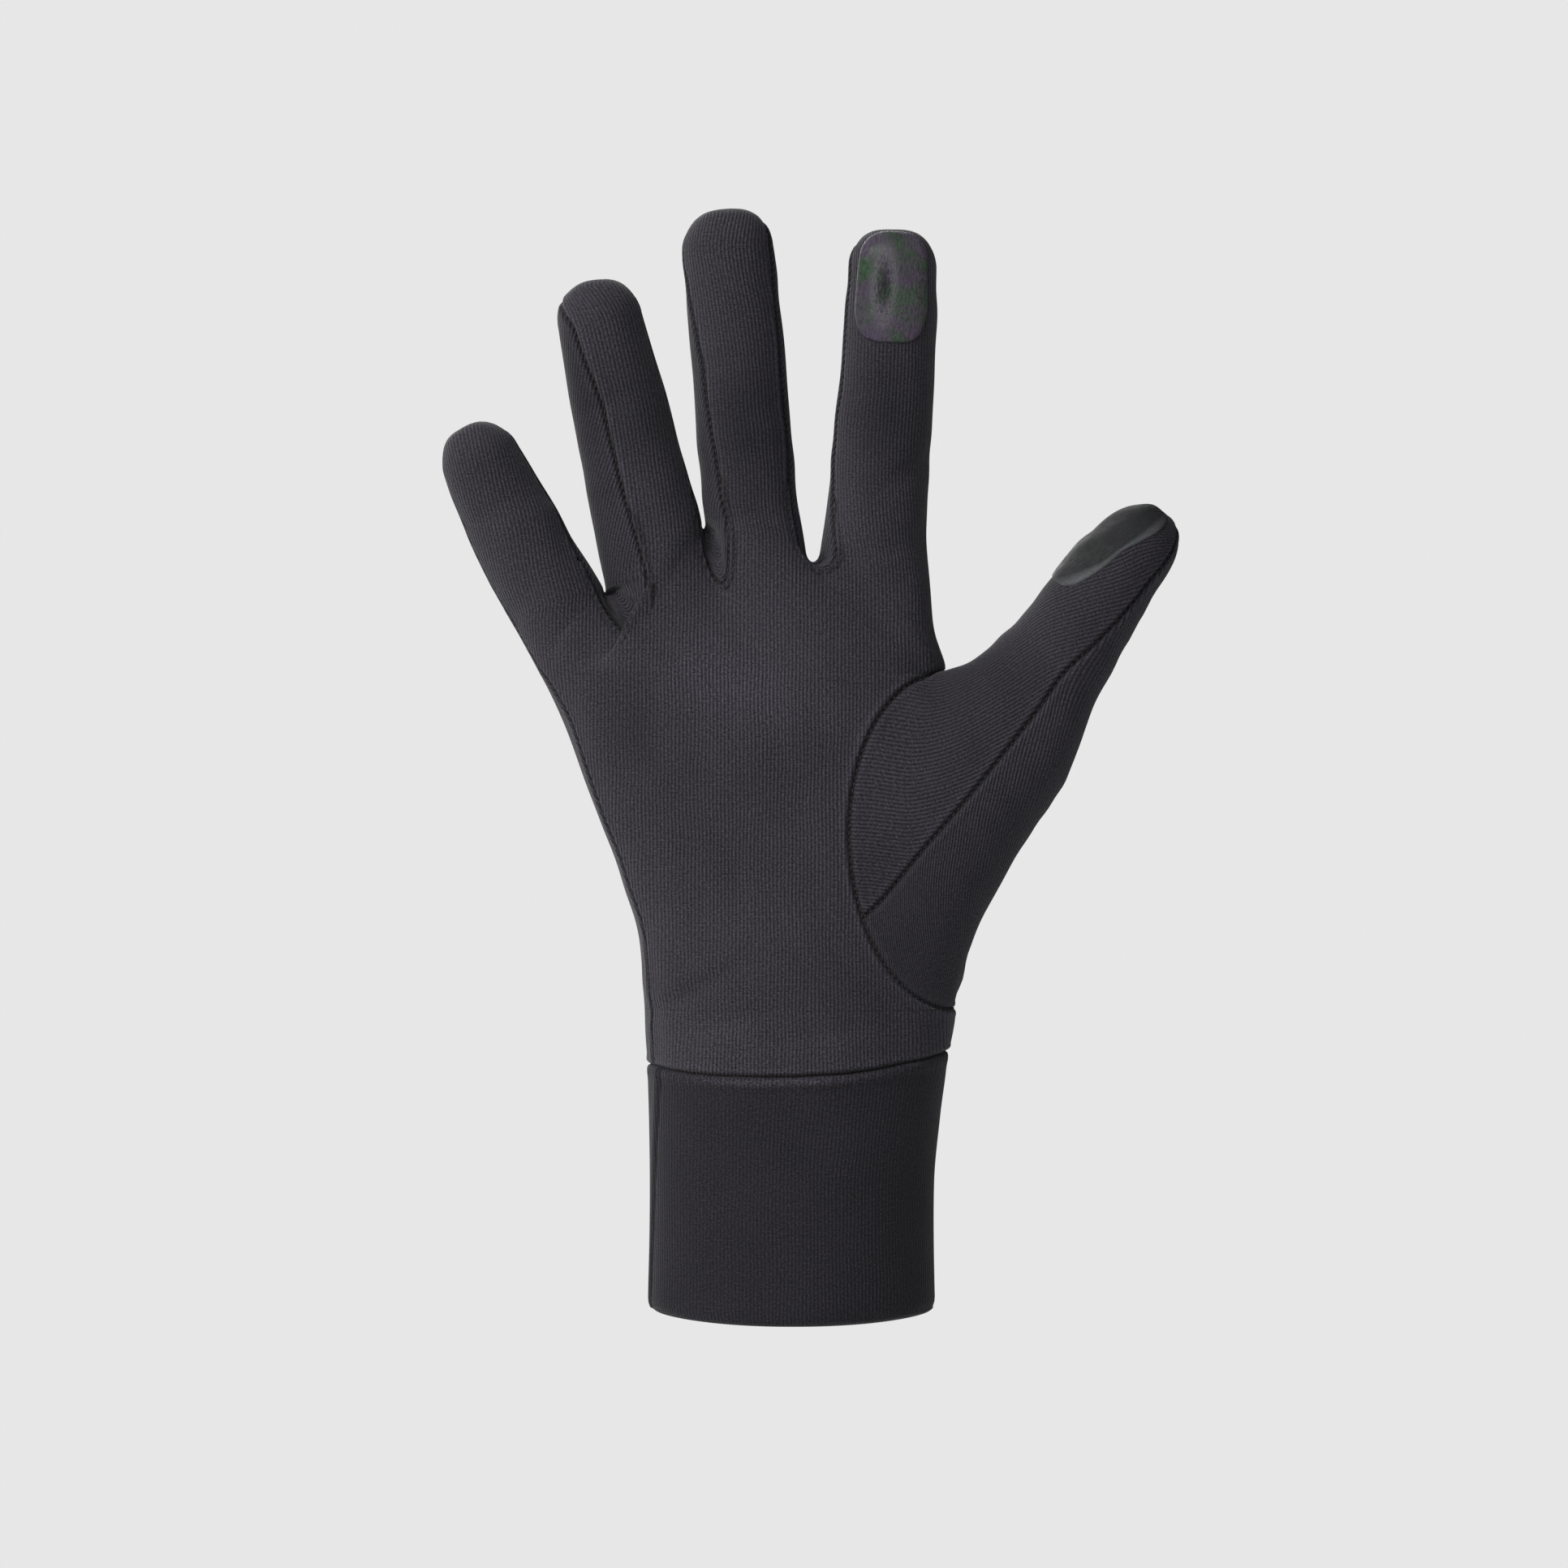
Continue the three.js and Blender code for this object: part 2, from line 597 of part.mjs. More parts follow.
// The palm or back panel: the hand below the knuckles and one side of each finger.
function handSheet(isBack) {
  const sheet = new Sheet();
  sheet.addGrid(palmGrid(isBack), !isBack);
  for (const finger of Object.values(fingers)) {
    const [left, right] = isBack ? ["backLeft", "backRight"] : ["frontLeft", "frontRight"];
    const grid = gridOf(fingerRows, fingerColumns, (row, column) =>
      fingerPoint(
        finger,
        row,
        mix(edgeAngle(finger, left, row), edgeAngle(finger, right, row), column / fingerColumns),
      ),
    );
    sheet.addGrid(grid, isBack);
  }
  return sheet;
}

// A fourchette: down the side of one finger, round the web and up the side of the next.
function fourchetteSheet(web) {
  const a = fingers[web.from];
  const b = fingers[web.to];
  const reach = tubeRows + fourchetteDomeRows;
  const sideOf = (finger, front, back, turn) => (row, column) =>
    fingerPoint(
      finger,
      row,
      mix(edgeAngle(finger, front, row), edgeAngle(finger, back, row) - turn, column / sideColumns),
    );
  const sheet = new Sheet();
  const first = gridOf(reach, sideColumns, sideOf(a, "frontRight", "backRight", 0));
  const second = gridOf(reach, sideColumns, sideOf(b, "frontLeft", "backLeft", 360));
  const round = gridOf(webColumns, sideColumns, (row, column) =>
    webPoint(web, row / webColumns, column / sideColumns),
  );
  sheet.addGrid(first);
  sheet.addGrid(round, true);
  sheet.addGrid(second, true);
  return sheet;
}

// The thumb sleeve: one cut of cloth wrapped round the thumb, whose two edges meet in a seam.
function thumbSheet() {
  const columns = 2 * rowsAtGusset;
  const start = thumbSeam(0);
  const turns = Array.from({ length: rowsAtGusset + 1 }, (_, step) => -90 + 180 * gussetTurn(step));
  const first = turns.findIndex((angle) => angle > start);
  const columnAngle = (column) => {
    const step = first + column;
    const lap = Math.floor(step / columns);
    const inLap = step % columns;
    return 360 * lap + (inLap <= rowsAtGusset ? turns[inLap] : 180 - turns[columns - inLap]);
  };
  const sheet = new Sheet();
  const grid = gridOf(thumbRows, columns, (row, column) =>
    thumbPoint(row, columnAngle(column) + thumbSeam(row / thumbTubeRows) - start),
  );
  sheet.addGrid(grid, false, (row, column) => (column === columns && row < thumbRows ? "far edge" : ""));
  return sheet;
}

// Normals of the whole glove's surface, so that panels share them along their seams.
function sharedNormals(sheets) {
  const normals = new Map();
  for (const sheet of sheets) {
    for (const [a, b, c] of sheet.faces) {
      const [p, q, r] = [a, b, c].map((id) => sheet.points[id]);
      const normal = q.clone().sub(p).cross(r.clone().sub(p));
      for (const point of [p, q, r]) {
        const key = spotKey(point);
        if (!normals.has(key)) normals.set(key, new THREE.Vector3());
        normals.get(key).add(normal);
      }
    }
  }
  for (const normal of normals.values()) normal.normalize();
  return normals;
}

// The open edges of a sheet, as pairs of corners in the order of their faces.
function openEdges(faces) {
  const edges = new Map();
  for (const [a, b, c] of faces) {
    for (const [from, to] of [[a, b], [b, c], [c, a]]) {
      if (edges.has(`${to},${from}`)) edges.delete(`${to},${from}`);
      else edges.set(`${from},${to}`, [from, to]);
    }
  }
  return [...edges.values()];
}

// A sheet becomes a wall: its edge steps back by half the seam gap, a second skin lies one wall further in, and a rim
// joins the two.
function wallOf(sheet, normals, wall) {
  const edges = openEdges(sheet.faces);
  const inward = new Map();
  for (const [from, to] of edges) {
    const along = sheet.points[to].clone().sub(sheet.points[from]);
    for (const id of [from, to]) {
      const normal = normals.get(spotKey(sheet.points[id]));
      const step = normal.clone().cross(along).normalize();
      inward.set(id, [...(inward.get(id) ?? []), step]);
    }
  }
  const outer = sheet.points.map((point, id) => {
    const steps = inward.get(id);
    if (!steps) return point.clone();
    const sum = steps.reduce((total, step) => total.add(step), new THREE.Vector3()).divideScalar(steps.length);
    const size = sum.length();
    if (size < 0.2) return point.clone();
    return point.clone().addScaledVector(sum.normalize(), Math.min(seamGap / 2 / size, seamGap));
  });
  const inner = outer.map((point, id) =>
    point.clone().addScaledVector(normals.get(spotKey(sheet.points[id])), -wall),
  );
  const count = outer.length;
  const faces = sheet.faces.flatMap(([a, b, c]) => [[a, b, c], [c + count, b + count, a + count]]);
  for (const [from, to] of edges) {
    // Both panels of a seam split the rim between them along the same diagonal.
    if (spotKey(sheet.points[from]) < spotKey(sheet.points[to])) {
      faces.push([to, from, from + count], [to, from + count, to + count]);
    } else {
      faces.push([to, from, to + count], [from, from + count, to + count]);
    }
  }
  return closedGeometry([...outer, ...inner], faces);
}

function closedGeometry(points, faces) {
  const geometry = new THREE.BufferGeometry();
  geometry.setAttribute("position", new THREE.Float32BufferAttribute(points.flatMap((point) => point.toArray()), 3));
  geometry.setIndex(faces.flat());
  geometry.computeVertexNormals();
  return geometry;
}

// The cuff: a ring whose wall section is carried round. Columns: at is the share of the height, blend runs from the
// hem's width and depth to the wrist's.
const cuffTable = [
  { at: 0, blend: 0 },
  { at: 0.5, blend: -0.2 },
  { at: 0.75, blend: 0.28 },
  { at: 0.9, blend: 0.75 },
  { at: 1, blend: 1 },
];
const cuffBlend = curveOf(cuffTable, "blend");

function cuffPoint(angle, at, inset) {
  const blend = cuffBlend(at);
  const half = mix(cuffWidth, wristWidth, blend) / 2 - inset;
  const depth = mix(cuffDepth, wristDepth, blend) / 2 - inset;
  const [across, front] = sectionShare(angle, cuffRoundness);
  const hem = hemRise * Math.sin(radians(angle)) ** 2;
  const top = cuffHeight + wristSeam(angle) - seamGap;
  return new THREE.Vector3(wristShift * blend + half * across, -depth * front, mix(hem, top, at));
}

function cuffGeometry() {
  const profile = [
    { at: 0.02, inset: 0 },
    { at: 0.25, inset: 0 },
    { at: 0.5, inset: 0 },
    { at: 0.75, inset: 0 },
    { at: 0.9, inset: 0 },
    { at: 1, inset: 0 },
    { at: 1, inset: cuffWall },
    { at: 0.75, inset: cuffWall },
    { at: 0.5, inset: cuffWall },
    { at: 0.02, inset: cuffWall },
    { at: 0, inset: cuffWall * (1 - cuffHemShare) },
    { at: 0, inset: cuffWall * cuffHemShare },
  ];
  const grid = gridOf(cuffColumns, profile.length, (row, column) => {
    const { at, inset } = profile[column % profile.length];
    return cuffPoint((360 * row) / cuffColumns, at, inset);
  });
  const ring = new Sheet();
  ring.addGrid(grid, true);
  return closedGeometry(ring.points, ring.faces);
}

// Where the films lie. Lengths of the thumb film's place are shares of thumbLength.
const indexFilm = { beyondTip: 0.2, widest: 0.95 };
const thumbFilm = { angle: -82, beyondTube: 0.012, tubeRowLength: 0.07, domeRowLength: 0.051 };

// A touch film: a small sheet with rounded corners that lies over the cloth at a gap.
// skinPoint gives the cloth's surface at (across, along) millimetres from the film's middle.
function filmGeometry(skinPoint, width, length, rows, columns) {
  const skin = (row, column) => {
    const up = (2 * row) / rows - 1;
    const side = (2 * column) / columns - 1;
    const rounding = (1 - Math.abs(up) ** 4) ** 0.25;
    const reach = (Math.max(rounding, 0.35) * width) / 2;
    return skinPoint(side * reach, (up * length) / 2);
  };
  const sheet = new Sheet();
  const grid = gridOf(rows, columns, skin);
  sheet.addGrid(grid);
  const normals = sharedNormals([sheet]);
  const lower = sheet.points.map((point) => point.clone().addScaledVector(normals.get(spotKey(point)), seamGap));
  const upper = sheet.points.map((point) =>
    point.clone().addScaledVector(normals.get(spotKey(point)), seamGap + patchThickness),
  );
  const count = upper.length;
  const faces = sheet.faces.flatMap(([a, b, c]) => [[a, b, c], [c + count, b + count, a + count]]);
  for (const [from, to] of openEdges(sheet.faces)) faces.push([to, from, from + count], [to, from + count, to + count]);
  return closedGeometry([...upper, ...lower], faces);
}

// The index film ends just over the tip. Beyond the finger's tube it follows slices of the rounded end.
function indexFilmSkin(across, along) {
  const finger = fingers.index;
  const tubeEnd = finger.tubeShare * finger.length;
  const tipHeight = finger.length - tubeEnd;
  const place = finger.length + indexFilm.beyondTip - indexPatchLength / 2 + along;
  const half = ((finger.right(finger.tubeShare) - finger.left(finger.tubeShare)) / 2) * finger.width;
  const share = THREE.MathUtils.clamp(across / half, -indexFilm.widest, indexFilm.widest);
  const slice = Math.max(place - tubeEnd, 0) / tipHeight;
  const rest = Math.sqrt(1 - share * share);
  const angle = THREE.MathUtils.radToDeg(Math.atan2(share, rest * Math.cos(slice)));
  const lift = THREE.MathUtils.radToDeg(Math.asin(rest * Math.sin(slice)));
  if (place <= tubeEnd) return fingerPoint(finger, (place / tubeEnd) * tubeRows, angle);
  return fingerPoint({ ...finger, roll: 0 }, tubeRows + (lift / 90) * domeRows, angle);
}

// The thumb film lies on the inner side of the thumb's end and runs from its tube on to its rounded end.
function thumbFilmSkin(across, along) {
  const place = thumbFilm.beyondTube * thumbLength + along;
  const rowLength = (place < 0 ? thumbFilm.tubeRowLength : thumbFilm.domeRowLength) * thumbLength;
  const angle = thumbFilm.angle + THREE.MathUtils.radToDeg(across / (thumbDepth / 2));
  return thumbPoint(thumbTubeRows + place / rowLength, angle);
}

const cloth = new THREE.MeshStandardMaterial({ color: 0x3c3a40, roughness: 0.85, metalness: 0 });
const bandCloth = new THREE.MeshStandardMaterial({ color: 0x302e33, roughness: 0.85, metalness: 0 });
const film = new THREE.MeshStandardMaterial({ color: 0x4a4a50, roughness: 0.35, metalness: 0 });

const glove = new THREE.Group();
function addPiece(name, geometry, material) {
  const mesh = new THREE.Mesh(geometry, material.clone());
  mesh.name = name;
  glove.add(mesh);
}

const sheets = {
  palm_panel: handSheet(false),
  back_panel: handSheet(true),
  thumb_sleeve: thumbSheet(),
};
for (const web of webs) sheets[`fourchette_${web.name}`] = fourchetteSheet(web);
const normals = sharedNormals(Object.values(sheets));
for (const [name, sheet] of Object.entries(sheets)) addPiece(name, wallOf(sheet, normals, clothWall), cloth);
addPiece("cuff", cuffGeometry(), bandCloth);
addPiece("index_touch_patch", filmGeometry(indexFilmSkin, indexPatchWidth, indexPatchLength, 10, 6), film);
addPiece("thumb_touch_patch", filmGeometry(thumbFilmSkin, thumbPatchWidth, thumbPatchLength, 8, 5), film);

export default glove;
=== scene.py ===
# A thin knit running glove for the right hand, held up in its worn form with the palm to the camera.
from functools import partial
import bpy
import mathutils
import numpy as np
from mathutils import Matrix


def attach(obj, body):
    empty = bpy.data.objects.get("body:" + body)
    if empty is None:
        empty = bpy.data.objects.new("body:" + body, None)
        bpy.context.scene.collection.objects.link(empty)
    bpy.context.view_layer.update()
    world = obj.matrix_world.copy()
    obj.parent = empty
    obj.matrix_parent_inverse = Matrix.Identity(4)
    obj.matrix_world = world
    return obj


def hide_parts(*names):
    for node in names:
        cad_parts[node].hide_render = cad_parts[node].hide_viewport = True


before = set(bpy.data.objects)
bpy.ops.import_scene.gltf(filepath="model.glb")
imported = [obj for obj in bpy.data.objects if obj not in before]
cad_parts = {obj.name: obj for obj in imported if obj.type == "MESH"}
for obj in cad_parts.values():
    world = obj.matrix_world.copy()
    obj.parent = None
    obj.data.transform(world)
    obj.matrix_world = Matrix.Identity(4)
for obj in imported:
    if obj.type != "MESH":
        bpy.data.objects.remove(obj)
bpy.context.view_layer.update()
mm = 0.001  # all shapes below are worked out in millimetres


def mix(a, b, share):
    return a + (b - a) * share


def sine(degrees):
    return np.sin(np.radians(degrees))


def cosine(degrees):
    return np.cos(np.radians(degrees))


def signedPower(value, power):
    return np.sign(value) * np.abs(value) ** power


def unit(vectors):
    return vectors / np.maximum(np.linalg.norm(vectors, axis=-1, keepdims=True), 1e-9)


def bell(offset, width):
    return np.exp(-(offset / width) ** 2)


def running(steps, axis=0):
    # the running total along an axis, from 0
    return np.concatenate([np.zeros_like(steps.take([0], axis)), np.cumsum(steps, axis)], axis)


def runLength(points, axis=0):
    return running(np.linalg.norm(np.diff(points, axis=axis), axis=-1), axis)


def smoothStep(low, high, value):
    t = np.clip((value - low) / (high - low), 0, 1)
    return t * t * (3 - 2 * t)


def curveThrough(keys, values):
    # cubic pieces through the keys, whose slopes come from the keys either side
    keys, values = np.array(keys, float), np.array(values, float)
    before = np.maximum(np.arange(len(keys)) - 1, 0)
    after = np.minimum(np.arange(len(keys)) + 1, len(keys) - 1)
    slopes = (values[after] - values[before]) / (keys[after] - keys[before])

    def at(where):
        where = np.asarray(where, float)
        i = np.clip(np.searchsorted(keys, where, side="left") - 1, 0, len(keys) - 2)
        span = keys[i + 1] - keys[i]
        t = (where - keys[i]) / span
        rest = 1 - t
        bend = (slopes[i] * rest - slopes[i + 1] * t) * t * rest * span
        return values[i] * rest * rest * (1 + 2 * t) + values[i + 1] * t * t * (3 - 2 * t) + bend

    return at


def tableCurves(rows, names):
    keys = [row[0] for row in rows]
    return {name: curveThrough(keys, [row[k + 1] for row in rows]) for k, name in enumerate(names)}


def refine(array, steps, axis=0, before=None):
    # values of the array at fractional steps along one axis, on a smooth spline through its rows.
    # before is the row that lies ahead of the first one, where a neighbouring grid has one
    array = np.moveaxis(array, axis, 0)
    ahead = 2 * array[:1] - array[1:2] if before is None else before[None]
    count = array.shape[0] - 1
    i = np.clip(np.floor(steps).astype(int), 0, count - 1)
    t = (steps - i).reshape((-1,) + (1,) * (array.ndim - 1))
    padded = np.concatenate([ahead, array, 2 * array[-1:] - array[-2:-1]])
    a, b, c, d = padded[i], padded[i + 1], padded[i + 2], padded[i + 3]
    out = b + 0.5 * t * (c - a + t * (2 * a - 5 * b + 4 * c - d + t * (3 * (b - c) + d - a)))
    return np.moveaxis(out, 0, axis)


def finerSteps(count, perStep, easeStart=False, easeEnd=False):
    # positions 0 to count, with extra ones close to an eased end
    close = np.array([0.05, 0.12, 0.21, 0.34, 0.5])
    leastStep = 0.045
    steps = np.concatenate([np.linspace(0, count, count * perStep + 1), close[:len(close) * easeStart],
                            count - close[:len(close) * easeEnd]])
    steps = np.unique(np.round(steps, 4))
    return steps[np.concatenate([[True], np.diff(steps) > leastStep])]


# the hand below the fingers. Angles: 0 faces the palm side, 90 the thumb side, 180 the back
hand = {
    "cuffHeight": 56.4, "wristWidth": 64.5, "wristDepth": 42, "palmWidth": 87.2, "palmDepth": 29, "palmHeight": 112,
    "wristShift": 1.05, "leftShare": 0.624, "crotchShare": 0.736, "wristSlant": 1.4, "wristDip": 3.2,
    "outerSeam": -72, "innerSeam": 97, "opening": 72, "gusset": 22, "backGusset": 9, "gussetEase": 0.35,
    "outerSeamReach": 0.4, "endColumns": (3, 9), "clearOfWeb": 2.4, "clearFrom": 1.5, "clearUntil": 2.5,
}
handCurves = tableCurves([
    (0, 0, 0, 0, 2.2), (0.09, 0.03, 0.019, 0.15, 2.2), (0.19, 0.06, 0.033, 0.35, 2.25), (0.25, 0.1, 0.039, 0.45, 2.3),
    (0.33, 0.225, 0.044, 0.58, 2.35), (0.41, 0.36, 0.047, 0.7, 2.4), (0.49, 0.51, 0.044, 0.8, 2.45),
    (0.59, 0.69, 0.033, 0.9, 2.5), (0.69, 0.88, 0.015, 0.97, 2.6), (0.79, 1.13, -0.016, 1.05, 2.7),
    (0.89, 1.4, -0.04, 1.2, 2.8), (1, 1.65, -0.048, 1.4, 2.8),
], ("leftSpread", "rightBow", "depth", "roundness"))


def handSection(height):
    at = height / hand["palmHeight"]
    halfWrist = hand["wristWidth"] / 2
    left = mix(hand["wristShift"] - halfWrist, -hand["leftShare"] * hand["palmWidth"], handCurves["leftSpread"](at))
    straight = mix(hand["wristShift"] + halfWrist, (1 - hand["leftShare"]) * hand["palmWidth"],
                   np.minimum(at / hand["crotchShare"], 1))
    right = straight + handCurves["rightBow"](at) * hand["palmWidth"]
    depth = mix(hand["wristDepth"], hand["palmDepth"], handCurves["depth"](at)) / 2
    return (left + right) / 2, (right - left) / 2, depth, handCurves["roundness"](at)


def handPoint(angle, height):
    centre, half, depth, roundness = handSection(height)
    across = signedPower(sine(angle), 2 / roundness)
    front = signedPower(cosine(angle), 2 / roundness)
    x, y, z = np.broadcast_arrays(centre + half * across, -depth * front, hand["cuffHeight"] + height)
    return np.stack([x, y, z], axis=-1)


def handAngle(x, height, isBack):
    # the angle at which the palm or the back is seen at x
    centre, half, depth, roundness = handSection(height)
    share = np.clip((x - centre) / half, -0.9995, 0.9995)
    angle = np.degrees(np.arcsin(signedPower(share, roundness / 2)))
    return np.where(isBack, 180 - angle, angle)


def wristSeam(angle):
    return hand["wristSlant"] * sine(angle) - hand["wristDip"] * cosine(angle) ** 2


# each finger's root, lean, side edges along the length, and the angles of the panel seams along it
fingerStops = (0, 0.2, 0.4, 0.6, 0.85)
fingers = {
    "little": {
        "length": 42.6, "width": 19.6, "depth": 17.5, "root": (-0.581, 0.87), "lean": -24.7, "slope": -0.07,
        "tube": 0.79, "squareness": 2.05,
        "rows": [(0, -0.53, 0.53), (0.1, -0.553, 0.495), (0.25, -0.582, 0.458), (0.45, -0.577, 0.42),
                 (0.65, -0.558, 0.372), (0.79, -0.53, 0.33)],
        "frontLeft": (-80, -80, -80, -82, -84), "backLeft": (280, 280, 280, 278, 276),
        "frontRight": (58, 68, 78, 82, 84), "backRight": (137, 128, 122, 118, 112),
    },
    "ring": {
        "length": 59.7, "width": 21, "depth": 19, "root": (-0.343, 0.965), "lean": -11.2, "slope": 0.425,
        "tube": 0.84, "squareness": 2.25,
        "rows": [(0, -0.543, 0.543), (0.1, -0.547, 0.535), (0.25, -0.544, 0.49), (0.45, -0.537, 0.452),
                 (0.65, -0.535, 0.408), (0.84, -0.508, 0.355)],
        "frontLeft": (-12, -16, -18, -21, -38), "backLeft": (238, 238, 240, 243, 250),
        "frontRight": (70, 80, 84, 84, 84), "backRight": (125, 122, 120, 116, 110),
    },
    "middle": {
        "length": 69.6, "width": 20.3, "depth": 19.4, "root": (-0.092, 1.004), "lean": -4.9, "slope": -0.34,
        "tube": 0.87, "squareness": 2.15,
        "rows": [(0, -0.51, 0.51), (0.1, -0.527, 0.47), (0.5, -0.527, 0.473), (0.75, -0.516, 0.46),
                 (0.87, -0.503, 0.448)],
        "frontLeft": (-35, -37, -45, -52, -78), "backLeft": (235, 236, 240, 244, 255),
        "frontRight": (56, 60, 60, 60, 63), "backRight": (125, 122, 120, 118, 112),
    },
    "index": {
        "length": 70.6, "width": 20.3, "depth": 19, "root": (0.2, 0.955), "lean": 3, "slope": -0.197,
        "tube": 0.87, "squareness": 2.3,
        "rows": [(0, -0.57, 0.57), (0.1, -0.53, 0.53), (0.3, -0.511, 0.53), (0.5, -0.47, 0.528), (0.62, -0.456, 0.527),
                 (0.75, -0.45, 0.516), (0.87, -0.428, 0.493)],
        "frontLeft": (-44, -64, -68, -68, -70), "backLeft": (235, 238, 240, 243, 250),
        "frontRight": (97, 97, 97, 97, 96), "backRight": (97, 97, 97, 97, 96),
    },
}
fingerShape = {"curl": 4, "tipRoll": 22, "tipFlatness": 0.92, "slopeReach": 0.35, "meetLift": 45, "meetEase": 1.5}
for finger in fingers.values():
    finger.update(tableCurves(finger["rows"], ("left", "right")))
    for edge in ("frontLeft", "backLeft", "frontRight", "backRight"):
        finger[edge] = curveThrough(fingerStops, finger[edge])
    lean = np.radians(finger["lean"])
    finger["along"] = np.array([np.sin(lean), 0, np.cos(lean)])
    finger["across"] = np.array([np.cos(lean), 0, -np.sin(lean)])
    finger["origin"] = np.array([finger["root"][0] * hand["palmWidth"], 0,
                                 hand["cuffHeight"] + finger["root"][1] * hand["palmHeight"]])


def domeShares(angle, lift, squareness, roll):
    # a unit sphere turned towards the back by the roll as it rises, and made squarer
    rise = np.radians(lift)
    turn = np.radians(roll) * (lift / 90) ** 2
    across = np.cos(rise) * sine(angle)
    front = np.cos(rise) * cosine(angle)
    up = np.sin(rise)
    front, up = front * np.cos(turn) - up * np.sin(turn), up * np.cos(turn) + front * np.sin(turn)
    size = (np.abs(across) ** squareness + np.abs(front) ** squareness + np.abs(up) ** squareness) ** (1 / squareness)
    return across / size, front / size, up / size


def fingerPoint(finger, at, lift, angle, roll=None):
    # an axis that curls forward a little, with a rounded section about it and a rounded end past the tube
    left = finger["left"](at) * finger["width"]
    right = finger["right"](at) * finger["width"]
    half = (right - left) / 2
    roll = fingerShape["tipRoll"] if roll is None else roll
    across, front, up = domeShares(angle, lift, finger["squareness"], roll)
    slope = finger["slope"] * np.maximum(1 - at / fingerShape["slopeReach"], 0) ** 2
    offset = (left + right) / 2 + half * across
    along = at * finger["length"] + slope * half * across + (1 - finger["tube"]) * finger["length"] * up
    reach = along / finger["length"]
    curl = fingerShape["curl"] * reach * np.abs(reach)
    forward = curl + finger["depth"] / 2 * front * mix(1, fingerShape["tipFlatness"], at)
    point = finger["origin"] + along[..., None] * finger["along"] + offset[..., None] * finger["across"]
    point[..., 1] -= forward
    return point


def edgeAngle(finger, edge, at, lift):
    # on the rounded end the two seams of a fourchette run together and go over the tip as one
    meet = {"frontLeft": -90, "frontRight": 90, "backRight": 90, "backLeft": 270}[edge]
    return mix(finger[edge](at), meet, np.minimum(lift / fingerShape["meetLift"], 1) ** fingerShape["meetEase"])


# each web is a U from one finger's side to the next, whose front and back edges hang lower than its middle
webs = [
    {"name": "little_ring", "from": "little", "to": "ring",
     "frontDrop": 13.6, "middleDrop": 1.6, "backDrop": 6, "shift": 4.1, "out": 2.5, "start": 1.6},
    {"name": "ring_middle", "from": "ring", "to": "middle",
     "frontDrop": 13.0, "middleDrop": 1.7, "backDrop": 6, "shift": 1.7, "out": 2.5, "start": 1},
    {"name": "middle_index", "from": "middle", "to": "index",
     "frontDrop": 4.5, "middleDrop": 3.3, "backDrop": 6, "shift": 0.6, "out": 1.5, "start": 1.2},
]


def webPoint(web, turn, side):
    # half a turn of a circle between two finger sides, hung lower by a sine
    first, second = fingers[web["from"]], fingers[web["to"]]
    zero = np.zeros(np.broadcast(turn, side).shape)
    start = fingerPoint(first, zero, zero, mix(first["frontRight"](0), first["backRight"](0), side) + zero)
    end = fingerPoint(second, zero, zero, mix(second["frontLeft"](0), second["backLeft"](0) - 360, side) + zero)
    lean = 2 * side - 1 + zero
    power = np.where(turn < 0.5, web["start"], 1)
    hang = np.abs(np.sin(np.pi * turn)) ** power + zero
    point = (start + end) / 2 + (start - end) * 0.5 * np.cos(np.pi * turn + zero)[..., None]
    drop = mix(web["middleDrop"], np.where(side < 0.5, web["frontDrop"], web["backDrop"]), lean ** 2)
    point[..., 0] += web["shift"] * hang * np.maximum(-lean, 0)
    point[..., 1] += web["out"] * hang * lean * np.abs(lean)
    point[..., 2] -= drop * hang
    return point


# steps of the coarse grids, which are welded and smoothed together so that fingers flow into the hand
coarse = {"tube": 18, "dome": 6, "front": 8, "side": 5, "web": 10, "above": 8, "gusset": 24, "below": 5,
          "thumbTube": 20, "thumbDome": 6}
fingerOrder = ("little", "ring", "middle", "index")
fingerRows = coarse["tube"] + coarse["dome"]
sideRows = coarse["tube"] + coarse["dome"] // 2  # a fourchette ends half way over the rounded end


def rowPlace(finger, row):
    at = np.minimum(row / coarse["tube"], 1) * finger["tube"]
    lift = np.maximum(row - coarse["tube"], 0) / coarse["dome"] * 90
    return at, lift


def panelOfFinger(finger, leftEdge, rightEdge, columns, turn=0):
    row = np.arange(fingerRows + 1.0)[:, None]
    share = np.arange(columns + 1.0)[None, :] / columns
    at, lift = rowPlace(finger, row)
    left = edgeAngle(finger, leftEdge, at, lift)
    right = edgeAngle(finger, rightEdge, at, lift) - turn
    angle = mix(left, right, share)
    return fingerPoint(finger, at + 0 * angle, lift + 0 * angle, angle)


def gussetTurn(step):
    even = step / coarse["gusset"]
    return mix(even, (1 - np.cos(np.pi * even)) / 2, hand["gussetEase"])


crotchHeight = hand["crotchShare"] * hand["palmHeight"]


def gussetSpot(turn, isBack):
    # half an ellipse on the palm, and a flatter one on the back, from the thumb crotch to its foot
    drop = (1 - np.cos(np.pi * turn)) / 2
    height = crotchHeight - hand["opening"] * drop
    top, foot = handSection(crotchHeight), handSection(crotchHeight - hand["opening"])
    chord = mix(top[0] + top[1], foot[0] + foot[1], drop)
    reach = hand["backGusset"] if isBack else hand["gusset"]
    angle = handAngle(chord - reach * np.sin(np.pi * turn), height, isBack)
    return np.where((turn <= 0) | (turn >= 1), 90, angle), height


def sideName(isBack):
    return "back" if isBack else "front"


